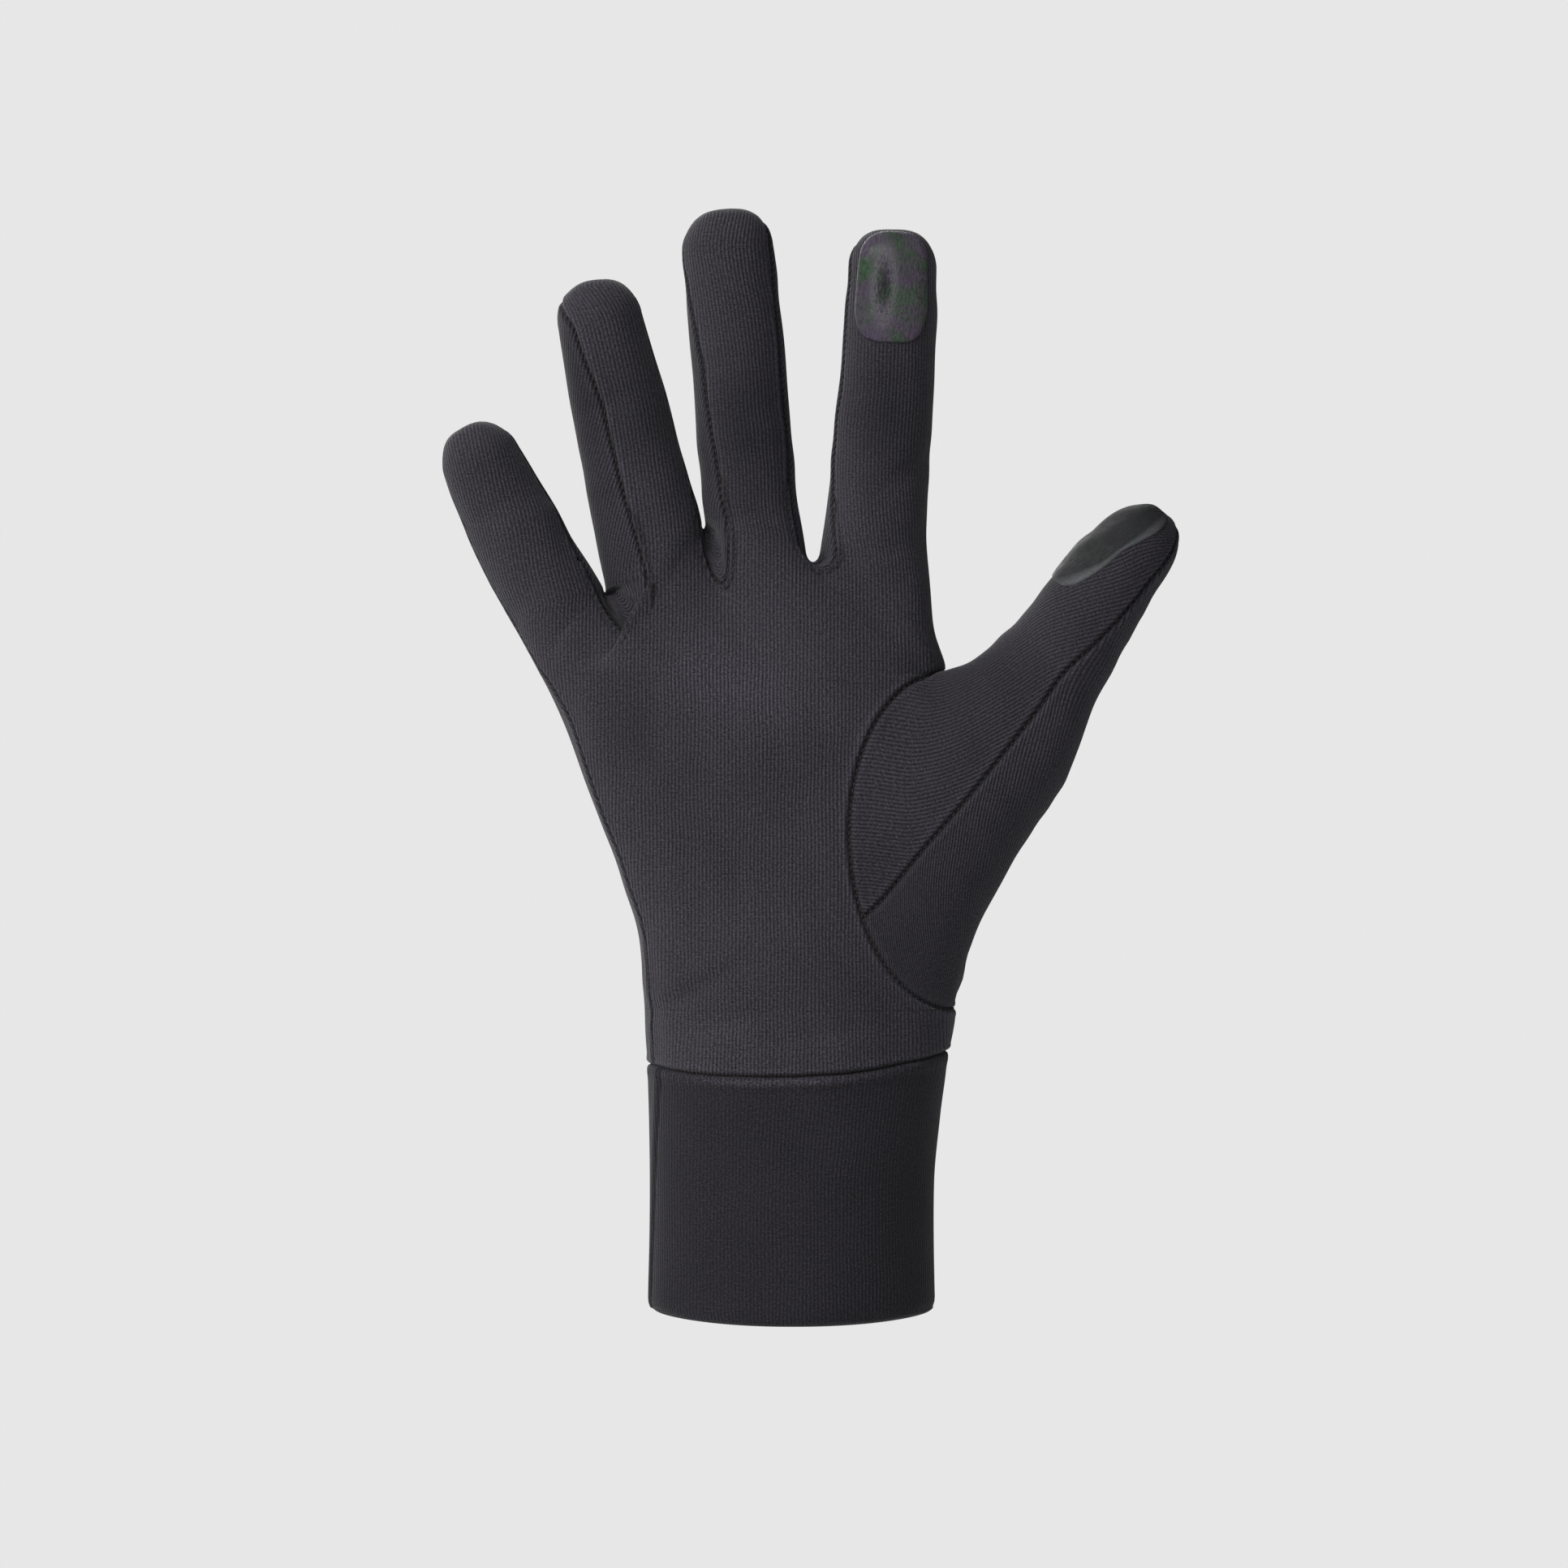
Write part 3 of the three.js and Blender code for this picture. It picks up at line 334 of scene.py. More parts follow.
def knuckleRow(isBack):
    parts = []
    share = np.arange(coarse["front"] + 1) / coarse["front"]
    turn = np.arange(1, coarse["web"]) / coarse["web"]
    side = sideName(isBack)
    for i, name in enumerate(fingerOrder):
        finger = fingers[name]
        angle = mix(finger[side + "Left"](0), finger[side + "Right"](0), share)
        parts.append(fingerPoint(finger, 0 * angle, 0 * angle, angle))
        if i < len(webs):
            parts.append(webPoint(webs[i], turn, 1.0 if isBack else 0.0))
    return np.concatenate(parts)


stride = coarse["front"] + coarse["web"]


def fromEnds(count):
    # 0 at the middle columns of a row and 1 at its two ends
    column = np.arange(count)
    return 1 - smoothStep(*hand["endColumns"], np.minimum(column, column[::-1]))


def handGrid(isBack):
    # level rows from the wrist to the thumb crotch, then rows that rise into the knuckle row
    top = knuckleRow(isBack)
    last = len(top) - 1
    shift = 360 if isBack else 0
    heights = top[:, 2] - hand["cuffHeight"]
    topAngles = handAngle(top[:, 0], heights, top[:, 1] > 0)
    topAngles = np.where(topAngles < 0, topAngles + shift, topAngles)
    above, gusset, below = coarse["above"], coarse["gusset"], coarse["below"]
    total = above + gusset + below
    row = np.arange(total + 1.0)
    whole = row / total
    leftShare = np.minimum(whole / hand["outerSeamReach"], 1)
    leftAngle = mix(topAngles[0] - shift, hand["outerSeam"], leftShare) + shift
    turn = gussetTurn(np.clip(row - above, 0, gusset))
    seamAngle, seamHeight = gussetSpot(turn, isBack)
    upper = np.clip(row / above, 0, 1)
    lower = np.clip((row - above - gusset) / below, 0, 1)
    rightAngle = np.where(row < above, mix(topAngles[-1], 90, upper), seamAngle)
    rightAngle = np.where(row > above + gusset, mix(90, hand["innerSeam"], lower), rightAngle)
    topShare = (topAngles - topAngles[0]) / (topAngles[-1] - topAngles[0])
    spread = 1 - (1 - upper) ** 2
    across = mix(topShare[None, :], (np.arange(last + 1) / last)[None, :], spread[:, None])
    angle = mix(leftAngle[:, None], rightAngle[:, None], across)
    foot = crotchHeight - hand["opening"]
    height = mix(heights[None, :], crotchHeight, upper[:, None])
    height = np.where((row < above)[:, None], height, seamHeight[:, None])
    height = np.where((row > above + gusset)[:, None], mix(foot, wristSeam(angle), lower[:, None]), height)
    angle[0] = topAngles
    plain = handPoint(angle, height)
    # near the top the cloth runs on in each finger's direction, and turns into the plain hand by the crotch
    run = np.zeros_like(top)
    side = sideName(isBack)
    for i, name in enumerate(fingerOrder):
        panel = panelOfFinger(fingers[name], side + "Left", side + "Right", coarse["front"])
        down = panel[0] - panel[1]
        run[i * stride:i * stride + coarse["front"] + 1] = down / -down[:, 2:]
        if i:
            gap = slice((i - 1) * stride + coarse["front"], i * stride + 1)
            share = np.linspace(0, 1, coarse["web"] + 1)[:, None]
            run[gap] = mix(run[gap][:1], run[gap][-1:], share)
    drop = top[None, :, 2] - plain[..., 2]
    ahead = top[None] + run[None] * drop[..., None]
    blend = mix(spread[:, None], smoothStep(0, 1, upper)[:, None], fromEnds(last + 1)[None, :])[..., None]
    grid = np.where((row < above)[:, None, None], mix(ahead, plain, blend), plain)
    # the cloth beside the steep right side of each web is moved clear of its opening
    tangent = unit(np.gradient(top[:, [0, 2]], axis=0))
    push = np.zeros(last + 1)
    past = np.arange(coarse["front"])
    for i in range(1, len(fingerOrder)):
        gap = slice((i - 1) * stride + coarse["front"], i * stride)
        push[gap] = np.maximum(tangent[gap, 1], 0)
        push[i * stride + past] = push[i * stride - 1] * (1 - past / coarse["front"]) ** 2
    rise = smoothStep(0, hand["clearFrom"], row) * (1 - smoothStep(hand["clearUntil"], above, row))
    grid[..., 0] += hand["clearOfWeb"] * push[None] * rise[:, None]
    return grid


thumb = {"length": 83, "depth": 21, "tipHeight": 0.155, "squareness": 2.15, "roll": 22, "baseReach": 0.2,
         "seamReach": 0.6}
thumbCurves = tableCurves([
    (0, -0.01, 0.434, 0.008, -0.434, 1.4, 0), (0.2, 0.071, 0.468, 0.073, -0.227, 1.36, 0.02),
    (0.4, 0.129, 0.527, 0.203, 0.017, 1.26, 0.045), (0.5, 0.165, 0.562, 0.271, 0.115, 1.2, 0.055),
    (0.6, 0.201, 0.604, 0.31, 0.19, 1.12, 0.065), (0.7, 0.239, 0.653, 0.342, 0.292, 1.06, 0.075),
    (0.8, 0.278, 0.704, 0.389, 0.395, 1, 0.085), (0.9, 0.323, 0.755, 0.4545, 0.514, 0.95, 0.095),
    (1, 0.367, 0.794, 0.5275, 0.6515, 0.88, 0.105),
], ("innerX", "innerZ", "outerX", "outerZ", "depth", "forward"))
thumbSeam = curveThrough((0, 0.3, 0.6, 0.8, 0.9, 1, 1.5), (24.5, 10, -1, 18, 30, 42, 60))


def thumbSection(at, lift, angle):
    topPoint = handPoint(*gussetSpot(np.array(0.0), False))
    footPoint = handPoint(*gussetSpot(np.array(1.0), False))
    middle = (topPoint + footPoint) / 2
    ends = []
    ungrown = (1 - np.minimum(at / thumb["baseReach"], 1))[..., None] ** 2
    for side, base in (("inner", topPoint), ("outer", footPoint)):
        x, z = thumbCurves[side + "X"](at), thumbCurves[side + "Z"](at)
        spot = middle + np.stack([x, 0 * x, z], axis=-1) * thumb["length"]
        ends.append(mix(spot, base, ungrown))
    inner, outer = ends
    halfLine = (outer - inner) / 2
    along = unit(np.stack([-halfLine[..., 2], 0 * halfLine[..., 0], halfLine[..., 0]], axis=-1))
    across, front, up = domeShares(angle, lift, thumb["squareness"], thumb["roll"])
    point = (inner + outer) / 2 + halfLine * across[..., None]
    point = point + along * (up * thumb["tipHeight"] * thumb["length"])[..., None]
    point[..., 1] -= thumbCurves["forward"](at) * thumb["length"]
    point[..., 1] -= thumbCurves["depth"](at) * thumb["depth"] / 2 * front
    return point


def thumbPoint(at, lift, angle):
    at, lift, angle = np.broadcast_arrays(at * 1.0, lift * 1.0, angle * 1.0)
    point = thumbSection(at, lift, angle)
    turned = (angle + 90) % 360
    isBack = turned > 180
    turn = np.where(isBack, (360 - turned) / 180, turned / 180)
    base = np.where(isBack[..., None], handPoint(*gussetSpot(turn, True)), handPoint(*gussetSpot(turn, False)))
    fade = np.maximum(1 - at / thumb["seamReach"], 0)[..., None] ** 2
    return point + (base - thumbSection(0 * at, 0 * lift, angle)) * fade


def thumbGrid():
    columns = 2 * coarse["gusset"]
    turns = -90 + 180 * gussetTurn(np.arange(coarse["gusset"] + 1.0))
    first = int(np.argmax(turns > thumbSeam(0)))
    step = first + np.arange(columns + 1)
    inLap = step % columns
    mirrored = 180 - turns[np.clip(columns - inLap, 0, coarse["gusset"])]
    ahead = turns[np.minimum(inLap, coarse["gusset"])]
    angles = 360 * (step // columns) + np.where(inLap <= coarse["gusset"], ahead, mirrored)
    row = np.arange(coarse["thumbTube"] + coarse["thumbDome"] + 1.0)[:, None]
    at = np.minimum(row / coarse["thumbTube"], 1)
    lift = np.maximum(row - coarse["thumbTube"], 0) / coarse["thumbDome"] * 90
    return thumbPoint(at, lift, angles[None, :] + thumbSeam(row / coarse["thumbTube"]) - thumbSeam(0))


smoothing = {"relaxRounds": 60, "knuckleRounds": 14, "thumbRounds": 24, "pull": 0.5, "pushBack": -0.53,
             "relaxRows": (0, 1, 1, 1, 1, 0.8, 0.5, 0.2), "above": (4, 13), "below": (-42, -22), "beside": (14, 24),
             "thumbStart": (1, 6), "thumbEnd": (22, 26)}


def knuckleMask(points):
    # 1 at the knuckles and in the webs, falling to 0 a little way up the fingers and down the hand
    mask = np.zeros(points.shape[:-1])
    for finger in fingers.values():
        offset = points - finger["origin"]
        along = offset @ finger["along"]
        across = np.abs(offset @ finger["across"])
        near = (1 - smoothStep(*smoothing["above"], along)) * smoothStep(*smoothing["below"], along)
        mask = np.maximum(mask, near * (1 - smoothStep(*smoothing["beside"], across)))
    return mask


grids = {}
for isBack, side in ((False, "front"), (True, "back")):
    grids[side + "Hand"] = handGrid(isBack)
    for name, finger in fingers.items():
        grids[side + name] = panelOfFinger(finger, side + "Left", side + "Right", coarse["front"])
for web in webs:
    first, second = fingers[web["from"]], fingers[web["to"]]
    down = panelOfFinger(first, "frontRight", "backRight", coarse["side"])[:sideRows + 1][::-1]
    up = panelOfFinger(second, "frontLeft", "backLeft", coarse["side"], 360)[:sideRows + 1]
    turn = np.arange(1, coarse["web"])[:, None] / coarse["web"]
    side = np.arange(coarse["side"] + 1)[None, :] / coarse["side"]
    grids["web" + web["name"]] = np.concatenate([down, webPoint(web, turn, side), up])
grids["thumb"] = thumbGrid()
print("coarse grids", {name: grid.shape[:2] for name, grid in grids.items()})

turned = {name: name.startswith(("back", "web")) != name.endswith("Hand") for name in grids}  # clockwise grids


def gridQuads(ids, flip):
    a, b, c, d = ids[:-1, :-1], ids[:-1, 1:], ids[1:, 1:], ids[1:, :-1]
    order = (a, d, c, b) if flip else (a, b, c, d)
    return np.stack(order, axis=-1).reshape(-1, 4)


def pointNormals(points, quads):
    # each face's cross product of its diagonals, summed at its corners
    normals = np.zeros_like(points)
    corners = points[quads]
    across = np.cross(corners[:, 2] - corners[:, 0], corners[:, 3] - corners[:, 1])
    for k in range(4):
        np.add.at(normals, quads[:, k], across)
    return unit(normals)


def weld(pointSets):
    # one list of points for all grids, in which points that coincide are the same
    closest = 0.005
    everything = np.concatenate([grid.reshape(-1, 3) for grid in pointSets.values()])
    keys = np.round(everything / closest).astype(np.int64)
    firsts, ids = np.unique(keys, axis=0, return_index=True, return_inverse=True)[1:]
    ids = ids.reshape(-1)
    starts = np.cumsum([0] + [grid.shape[0] * grid.shape[1] for grid in pointSets.values()])
    shaped = {name: ids[starts[k]:starts[k + 1]].reshape(grid.shape[:2])
              for k, (name, grid) in enumerate(pointSets.items())}
    return everything[firsts], shaped


def smooth(points, quads, mask, rounds, pushBack=smoothing["pushBack"], axes=(1, 1, 1)):
    # each round pulls points to their neighbours' middle and then pushes them back, which keeps the volume
    edges = np.concatenate([quads[:, [k, (k + 1) % 4]] for k in range(4)])
    edges = np.unique(np.sort(edges[edges[:, 0] != edges[:, 1]], axis=1), axis=0)
    degree = np.bincount(edges.ravel(), minlength=len(points))[:, None]
    for weight in (smoothing["pull"], pushBack) * rounds:
        total = np.zeros_like(points)
        np.add.at(total, edges[:, 0], points[edges[:, 1]])
        np.add.at(total, edges[:, 1], points[edges[:, 0]])
        points = points + weight * mask[:, None] * (total / np.maximum(degree, 1) - points) * np.array(axes)
    return points


welded, ids = weld(grids)
allQuads = np.concatenate([gridQuads(ids[name], turned[name]) for name in grids])
relax = np.zeros(len(welded))
rowShare = np.array(smoothing["relaxRows"])
for side in ("front", "back"):
    handIds = ids[side + "Hand"][:len(rowShare)]
    relax[handIds] = rowShare[:, None] * (1 - fromEnds(handIds.shape[1]))[None, :]
# the palm's and the back's top rows are evened out in depth alone, then the knuckles and the thumb in full
welded = smooth(welded, allQuads, relax, smoothing["relaxRounds"], 0, (0, 1, 0))
onSeam = np.zeros(len(welded), dtype=bool)
for web in webs:
    onSeam[ids["web" + web["name"]][:, [0, -1]].ravel()] = True
welded = smooth(welded, allQuads, knuckleMask(welded) * ~onSeam, smoothing["knuckleRounds"])
thumbRow = np.arange(len(ids["thumb"]))[:, None]
thumbMask = np.zeros(len(welded))
thumbMask[ids["thumb"]] = (smoothStep(*smoothing["thumbStart"], thumbRow)
                           * (1 - smoothStep(*smoothing["thumbEnd"], thumbRow)))
welded = smooth(welded, allQuads, thumbMask, smoothing["thumbRounds"])
weldedNormals = pointNormals(welded, allQuads)
grids = {name: welded[ids[name]] for name in grids}
normals = {name: weldedNormals[ids[name]] for name in grids}
print("welded points", len(welded))


# the fine grids are the coarse ones on smooth splines, with extra lines beside the seams
fingerColumns = finerSteps(coarse["front"], 3, True, True)
fingerSteps = finerSteps(fingerRows, 3)
sideSteps = fingerSteps[fingerSteps <= sideRows]
webSteps = finerSteps(coarse["web"], 2)
handRows = finerSteps(coarse["above"] + coarse["gusset"] + coarse["below"], 3, True, True)
webRows = np.concatenate([sideRows - sideSteps[::-1], sideRows + webSteps[1:-1],
                          sideRows + coarse["web"] + sideSteps])
webColumns = finerSteps(coarse["side"], 3, True, True)
thumbColumns = finerSteps(2 * coarse["gusset"], 3, True, True)
thumbRows = finerSteps(coarse["thumbTube"] + coarse["thumbDome"], 3, True)
period = np.concatenate([fingerColumns, coarse["front"] + webSteps[1:-1]])  # one finger's and one web's columns
handColumns = np.concatenate([i * stride + period for i in range(len(fingerOrder))])
handColumns = handColumns[:len(handColumns) - len(webSteps) + 2]


def underFinger(i):
    return slice(i * len(period), i * len(period) + len(fingerColumns))


def rowAhead(values, name):
    # the row before a finger's first lies in the hand, and the row before the hand's first in the fingers
    side = name[:5] if name.startswith("front") else name[:4]
    if name.endswith("Hand"):
        row = 2 * values[name][0] - values[name][1]
        for i, finger in enumerate(fingerOrder):
            row[i * stride:i * stride + coarse["front"] + 1] = values[side + finger][1]
        return row
    if name[len(side):] in fingerOrder:
        i = fingerOrder.index(name[len(side):])
        return values[side + "Hand"][1, i * stride:i * stride + coarse["front"] + 1]
    return None


def fineGrid(name, rows, columns):
    points = refine(refine(grids[name], rows, 0, rowAhead(grids, name)), columns, 1)
    away = unit(refine(refine(normals[name], rows, 0, rowAhead(normals, name)), columns, 1))
    return points, away


def drawnTo(grid, target, steps, axis):
    # moves one border of a grid on to a target line, and the lines beside it less and less over one coarse step
    fade = np.maximum(1 - steps, 0) ** 2
    if axis == 0:
        return grid + fade[:, None, None] * (target - grid[0])[None]
    return grid + fade[None, :, None] * (target - grid[:, 0])[:, None]


fine, direction = {}, {}
for web in webs:
    key = "web" + web["name"]
    fine[key], direction[key] = fineGrid(key, webRows, webColumns)
fine["thumb"], direction["thumb"] = fineGrid("thumb", thumbRows, thumbColumns)
for side, border in (("front", 0), ("back", -1)):
    for i, name in enumerate(fingerOrder):
        points, away = fineGrid(side + name, fingerSteps, fingerColumns)
        count = len(sideSteps)
        for neighbour, mirrored in ((i, True), (i - 1, False)):
            if not 0 <= neighbour < len(webs):
                continue
            line = fine["web" + webs[neighbour]["name"]][:, border]
            line = line[:count][::-1] if mirrored else line[-count:]
            steps = (coarse["front"] - fingerColumns)[::-1] if mirrored else fingerColumns
            part = (points[:, ::-1] if mirrored else points).copy()
            part[:count] = drawnTo(part[:count], line, steps, 1)
            points = part[:, ::-1] if mirrored else part
        fine[side + name], direction[side + name] = points, away
    points, away = fineGrid(side + "Hand", handRows, handColumns)
    target, targetAway = points[0].copy(), away[0].copy()
    for i, name in enumerate(fingerOrder):
        target[underFinger(i)] = fine[side + name][0]
        targetAway[underFinger(i)] = direction[side + name][0]
        if i < len(webs):
            middle = slice(len(sideSteps), len(sideSteps) + len(webSteps) - 2)
            target[underFinger(i).stop:(i + 1) * len(period)] = fine["web" + webs[i]["name"]][middle, border]
    fine[side + "Hand"] = drawnTo(points, target, handRows, 0)
    away[0] = targetAway
    direction[side + "Hand"] = away
print("fine grids", {name: grid.shape[:2] for name, grid in fine.items()})


def arcAcross(points, frameAcross=(1, 0, 0), depthShare=1.0):
    # length along each row, in the plane across the hand or finger, with a share of the steps in depth
    across = np.diff(points @ np.array(frameAcross, float), axis=1)
    length = np.hypot(across, np.diff(points[..., 1], axis=1) * depthShare)
    steps = np.where(depthShare > grainShape["leastDepth"], np.sign(across.sum()) * length, across)
    return running(steps, 1)


grainShape = {"edgeColumns": (12, 40), "leastDepth": 0.02, "webTurn": 32, "thumbTip": 52, "leastTurn": 0.2}


def handGrain(points):
    # x itself in the middle of the hand, and the length round the side near its two edges
    column = np.arange(points.shape[1] - 1)
    edge = 1 - smoothStep(*grainShape["edgeColumns"], np.minimum(column, column[::-1]))
    arc = arcAcross(points, depthShare=edge[None, :])
    middle = points.shape[1] // 2
    return np.stack([arc - arc[:, middle:middle + 1] + points[:, middle:middle + 1, 0], points[..., 2]], axis=-1)


grain = {}
for side in ("front", "back"):
    grain[side + "Hand"] = handGrain(fine[side + "Hand"])
    for i, name in enumerate(fingerOrder):
        finger = fingers[name]
        points = fine[side + name]
        arc = arcAcross(points, finger["across"])
        arc = arc - arc[:, -1:] / 2
        along = (points - finger["origin"]) @ finger["along"]
        start = grain[side + "Hand"][0, underFinger(i)]
        tilt = np.tan(np.radians(finger["lean"] / 2))
        u = start[None, :, 0] + arc - arc[:1] + (along - along[:1]) * tilt
        v = start[None, :, 1] + (along - along[:1])
        grain[side + name] = np.stack([u, v], axis=-1)
for web in webs:
    points = fine["web" + web["name"]]
    run = runLength(points[:, points.shape[1] // 2])[:, None]
    arc = runLength(points, 1)
    turn = np.radians(grainShape["webTurn"])
    grain["web" + web["name"]] = np.stack([arc * np.cos(turn) + run * np.sin(turn),
                                           run * np.cos(turn) - arc * np.sin(turn)], axis=-1)
# the thumb's cut laid flat: columns are rays from one centre, and rows and columns keep their true lengths
points = fine["thumb"]
ray = runLength(points)
tubeEnd = int(np.searchsorted(thumbRows, coarse["thumbTube"]))
radius = grainShape["thumbTip"] + ray[tubeEnd] - ray
rowStep = np.linalg.norm(np.diff(points, axis=1), axis=-1)
turnStep = np.maximum(rowStep ** 2 - np.diff(radius, axis=1) ** 2, grainShape["leastTurn"] * rowStep ** 2)
swing = running(np.sqrt(turnStep) / ((radius[:, 1:] + radius[:, :-1]) / 2), 1)
swing = swing - swing[:, points.shape[1] // 2][:, None]
grain["thumb"] = np.stack([radius * np.sin(swing), radius * np.cos(swing)], axis=-1)


def distanceTo(points, line):
    # distance from each point to the nearest point of a line, in blocks
    flat = points.reshape(-1, 3)
    nearest = [np.sqrt(np.maximum(((block ** 2).sum(1)[:, None] + (line ** 2).sum(1)[None]
                                   - 2 * block @ line.T).min(1), 0)) for block in np.array_split(flat, 24)]
    return np.concatenate(nearest).reshape(points.shape[:-1])


def denseLine(line, spacing=0.25):
    length = runLength(line)
    at = np.linspace(0, length[-1], int(length[-1] / spacing) + 2)
    return np.stack([np.interp(at, length, line[:, k]) for k in range(3)], axis=-1)


crotchRow = int(np.searchsorted(handRows, coarse["above"]))
footRow = int(np.searchsorted(handRows, coarse["above"] + coarse["gusset"]))
front, back = "frontHand", "backHand"
tipPart = slice(len(sideSteps) - 1, None)
seamParts = {
    "littleOuter": ("frontlittle", (slice(None, len(sideSteps)), 0)), "handOuter": (front, (slice(None), 0)),
    "indexOuter": ("frontindex", (slice(None, len(sideSteps)), -1)),
    "handInner": (front, (slice(None, crotchRow + 1), -1)), "handFoot": (front, (slice(footRow, None), -1)),
    "gusset": ("thumb", (0, slice(None))), "thumb": ("thumb", (slice(None), 0)),
    "wristFront": (front, (-1, slice(None))), "wristBack": (back, (-1, slice(None))),
}
for web in webs:
    seamParts[web["name"] + "Front"] = ("web" + web["name"], (slice(None), 0))
    seamParts[web["name"] + "Back"] = ("web" + web["name"], (slice(None), -1))
for name in fingerOrder:
    seamParts[name + "TipLeft"] = ("front" + name, (tipPart, 0))
    seamParts[name + "TipRight"] = ("front" + name, (tipPart, -1))
seamLines = {name: fine[key][part] for name, (key, part) in seamParts.items()}
seamAway = {name: direction[key][part] for name, (key, part) in seamParts.items()}
dense = np.concatenate([denseLine(line) for line in seamLines.values()])

# in seamShape, dark and light are a painted shade in each seam's groove and a painted highlight on the cloth beside it
seamShape = {"depth": 0.62, "width": 0.4, "pillow": 0.2, "pillowAt": 1.15, "pillowWidth": 0.6,
             "dark": 0.8, "darkWidth": 0.5, "light": 0.22, "lightAt": 1.1}
# in webShape, dark is painted shade in the groove beyond each web's rolled edge
webShape = {"rim": 0.25, "rimAt": 0.55, "rimWidth": 0.4, "groove": 0.38, "grooveAt": 1.25, "grooveWidth": 0.36,
            "dark": 0.62, "hollow": 2.5, "hollowTurn": 0.3, "hollowAt": 0.27, "hollowWidth": 0.16, "endRows": 10}
# each fold: middle x and z, turn from upright in degrees, half length, half width, height, 1 for the palm side
folds = [
    (26, 182, 65, 9, 2.2, -0.7, 1), (-8, 190, 80, 8, 2.4, 0.4, 1), (-14, 205, 85, 8, 2, -0.35, 1),
    (20, 200, 82, 9, 2.6, -0.4, 1), (22, 166, 75, 10, 2.4, -0.4, 1), (-40, 196, 70, 8, 2, -0.4, 1),
    (-66, 172, 62, 7, 2, -0.4, 1), (-46, 176, 70, 9, 2.2, 0.35, 1), (-13, 172, 86, 9, 2.2, -0.4, 1),
    (-24, 70, 62, 13, 2.4, -0.75, 1), (-20, 75, 58, 11, 2, 0.5, 1), (-16, 64, 75, 12, 2, -0.5, 1),
    (6, 62, 82, 13, 2, -0.5, 1), (20, 68, -70, 10, 2.2, -0.5, 1), (28, 137, -52, 8, 1.4, -0.35, 1),
    (26, 134, -48, 8, 1.3, 0.3, 1), (-20, 118, 70, 26, 7, 0.5, 1), (-4, 100, 40, 30, 8, -0.5, 1),
    (14, 128, -60, 20, 5, 0.4, 1), (-48, 128, 15, 24, 5, -0.4, 1), (-60, 150, 30, 8, 2.5, -0.4, 1),
    (-10, 100, 80, 24, 5, 0.5, -1), (10, 70, 75, 16, 2.2, -0.7, -1), (-16, 64, 86, 16, 2, -0.6, -1),
    (24, 182, 80, 9, 2.4, -0.6, -1), (-10, 184, 82, 9, 2.4, -0.6, -1), (-41, 178, 80, 9, 2.4, -0.6, -1),
    (-66, 168, 66, 8, 2.2, -0.6, -1), (30, 120, 20, 16, 4, 0.5, -1), (-44, 120, 10, 20, 4, 0.5, -1),
]


# painted light and shade on the palm side: lighter where the light falls, darker in grooves, webs and shaded parts;
# the same, with a strength for the height
paintedShadeSpots = [
    (-12, 135, 20, 9, 17, 0.48), (-11, 192, 0, 17, 8, -0.48), (-33, 193, -11, 12, 8, -0.31),
    (20, 193, 0, 15, 8, -0.53), (-37.5, 151.5, -42, 5.5, 2.2, -0.6), (-41.3, 163, -14, 9, 1.8, -0.4),
    (-44.5, 197, -11, 12, 3, -0.15), (34, 132, 0, 8, 8, -0.12), (-36, 126, 0, 6, 7, -0.1),
    (-12, 228, 0, 10, 8, 0.06), (-60, 176, -25, 8, 7, 0.1), (10, 71, 0, 9, 12, -0.16),
    (-28, 122, -20, 14, 7, -0.12), (28, 137, 30, 5, 9, -0.12), (24, 28, 0, 26, 8, -0.14),
    (42, 140, 40, 6, 10, -0.2), (-36, 130, -20, 14, 5, -0.1), (-10, 62, 4, 5, 22, 0.12),
    (-24, 72, 0, 8, 6, -0.16),
]
unevenness = {"height": 0.13, "fineHeight": 0.07}


def softSpot(points, middleX, middleZ, turn, half, narrow):
    # a bell across a leaning line and another along it, seen from the front
    lean = np.radians(turn)
    dx, dz = points[..., 0] - middleX, points[..., 2] - middleZ
    return bell(dx * np.sin(lean) + dz * np.cos(lean), half) * bell(dx * np.cos(lean) - dz * np.sin(lean), narrow)


def facing(away, side):
    return smoothStep(0, 0.5, -away[..., 1] * side)


def relief(points, away):
    # slow waves over the cloth, and the folds on their own side
    x, z = points[..., 0], points[..., 2]
    wave = np.sin(x * 0.31 + 2 * np.sin(z * 0.09)) * np.sin(z * 0.23 + 1.3 * np.sin(x * 0.11))
    fineWave = np.sin(x * 0.72 + z * 0.35 + 2 * np.sin(z * 0.17))
    total = unevenness["height"] * wave + unevenness["fineHeight"] * fineWave
    for middleX, middleZ, turn, half, narrow, height, side in folds:
        total = total + height * softSpot(points, middleX, middleZ, turn, half, narrow) * facing(away, side)
    return total


# painted light and shade from the listed spots, on the palm side only
def paintedShadeAt(points, away):
    return sum(strength * softSpot(points, *place) for *place, strength in paintedShadeSpots) * facing(away, 1)


def seamRelief(distance):
    # a groove at the seam and a low pillow beside it
    pillow = seamShape["pillow"] * bell(distance - seamShape["pillowAt"], seamShape["pillowWidth"])
    return pillow - seamShape["depth"] * bell(distance, seamShape["width"])


def seamPaintedShading(distance):
    # a dark line of painted shade in the seam's groove, and a lighter line of painted highlight on the cloth beside it
    light = seamShape["light"] * bell(distance - seamShape["lightAt"], seamShape["darkWidth"])
    return light - seamShape["dark"] * bell(distance, seamShape["darkWidth"])


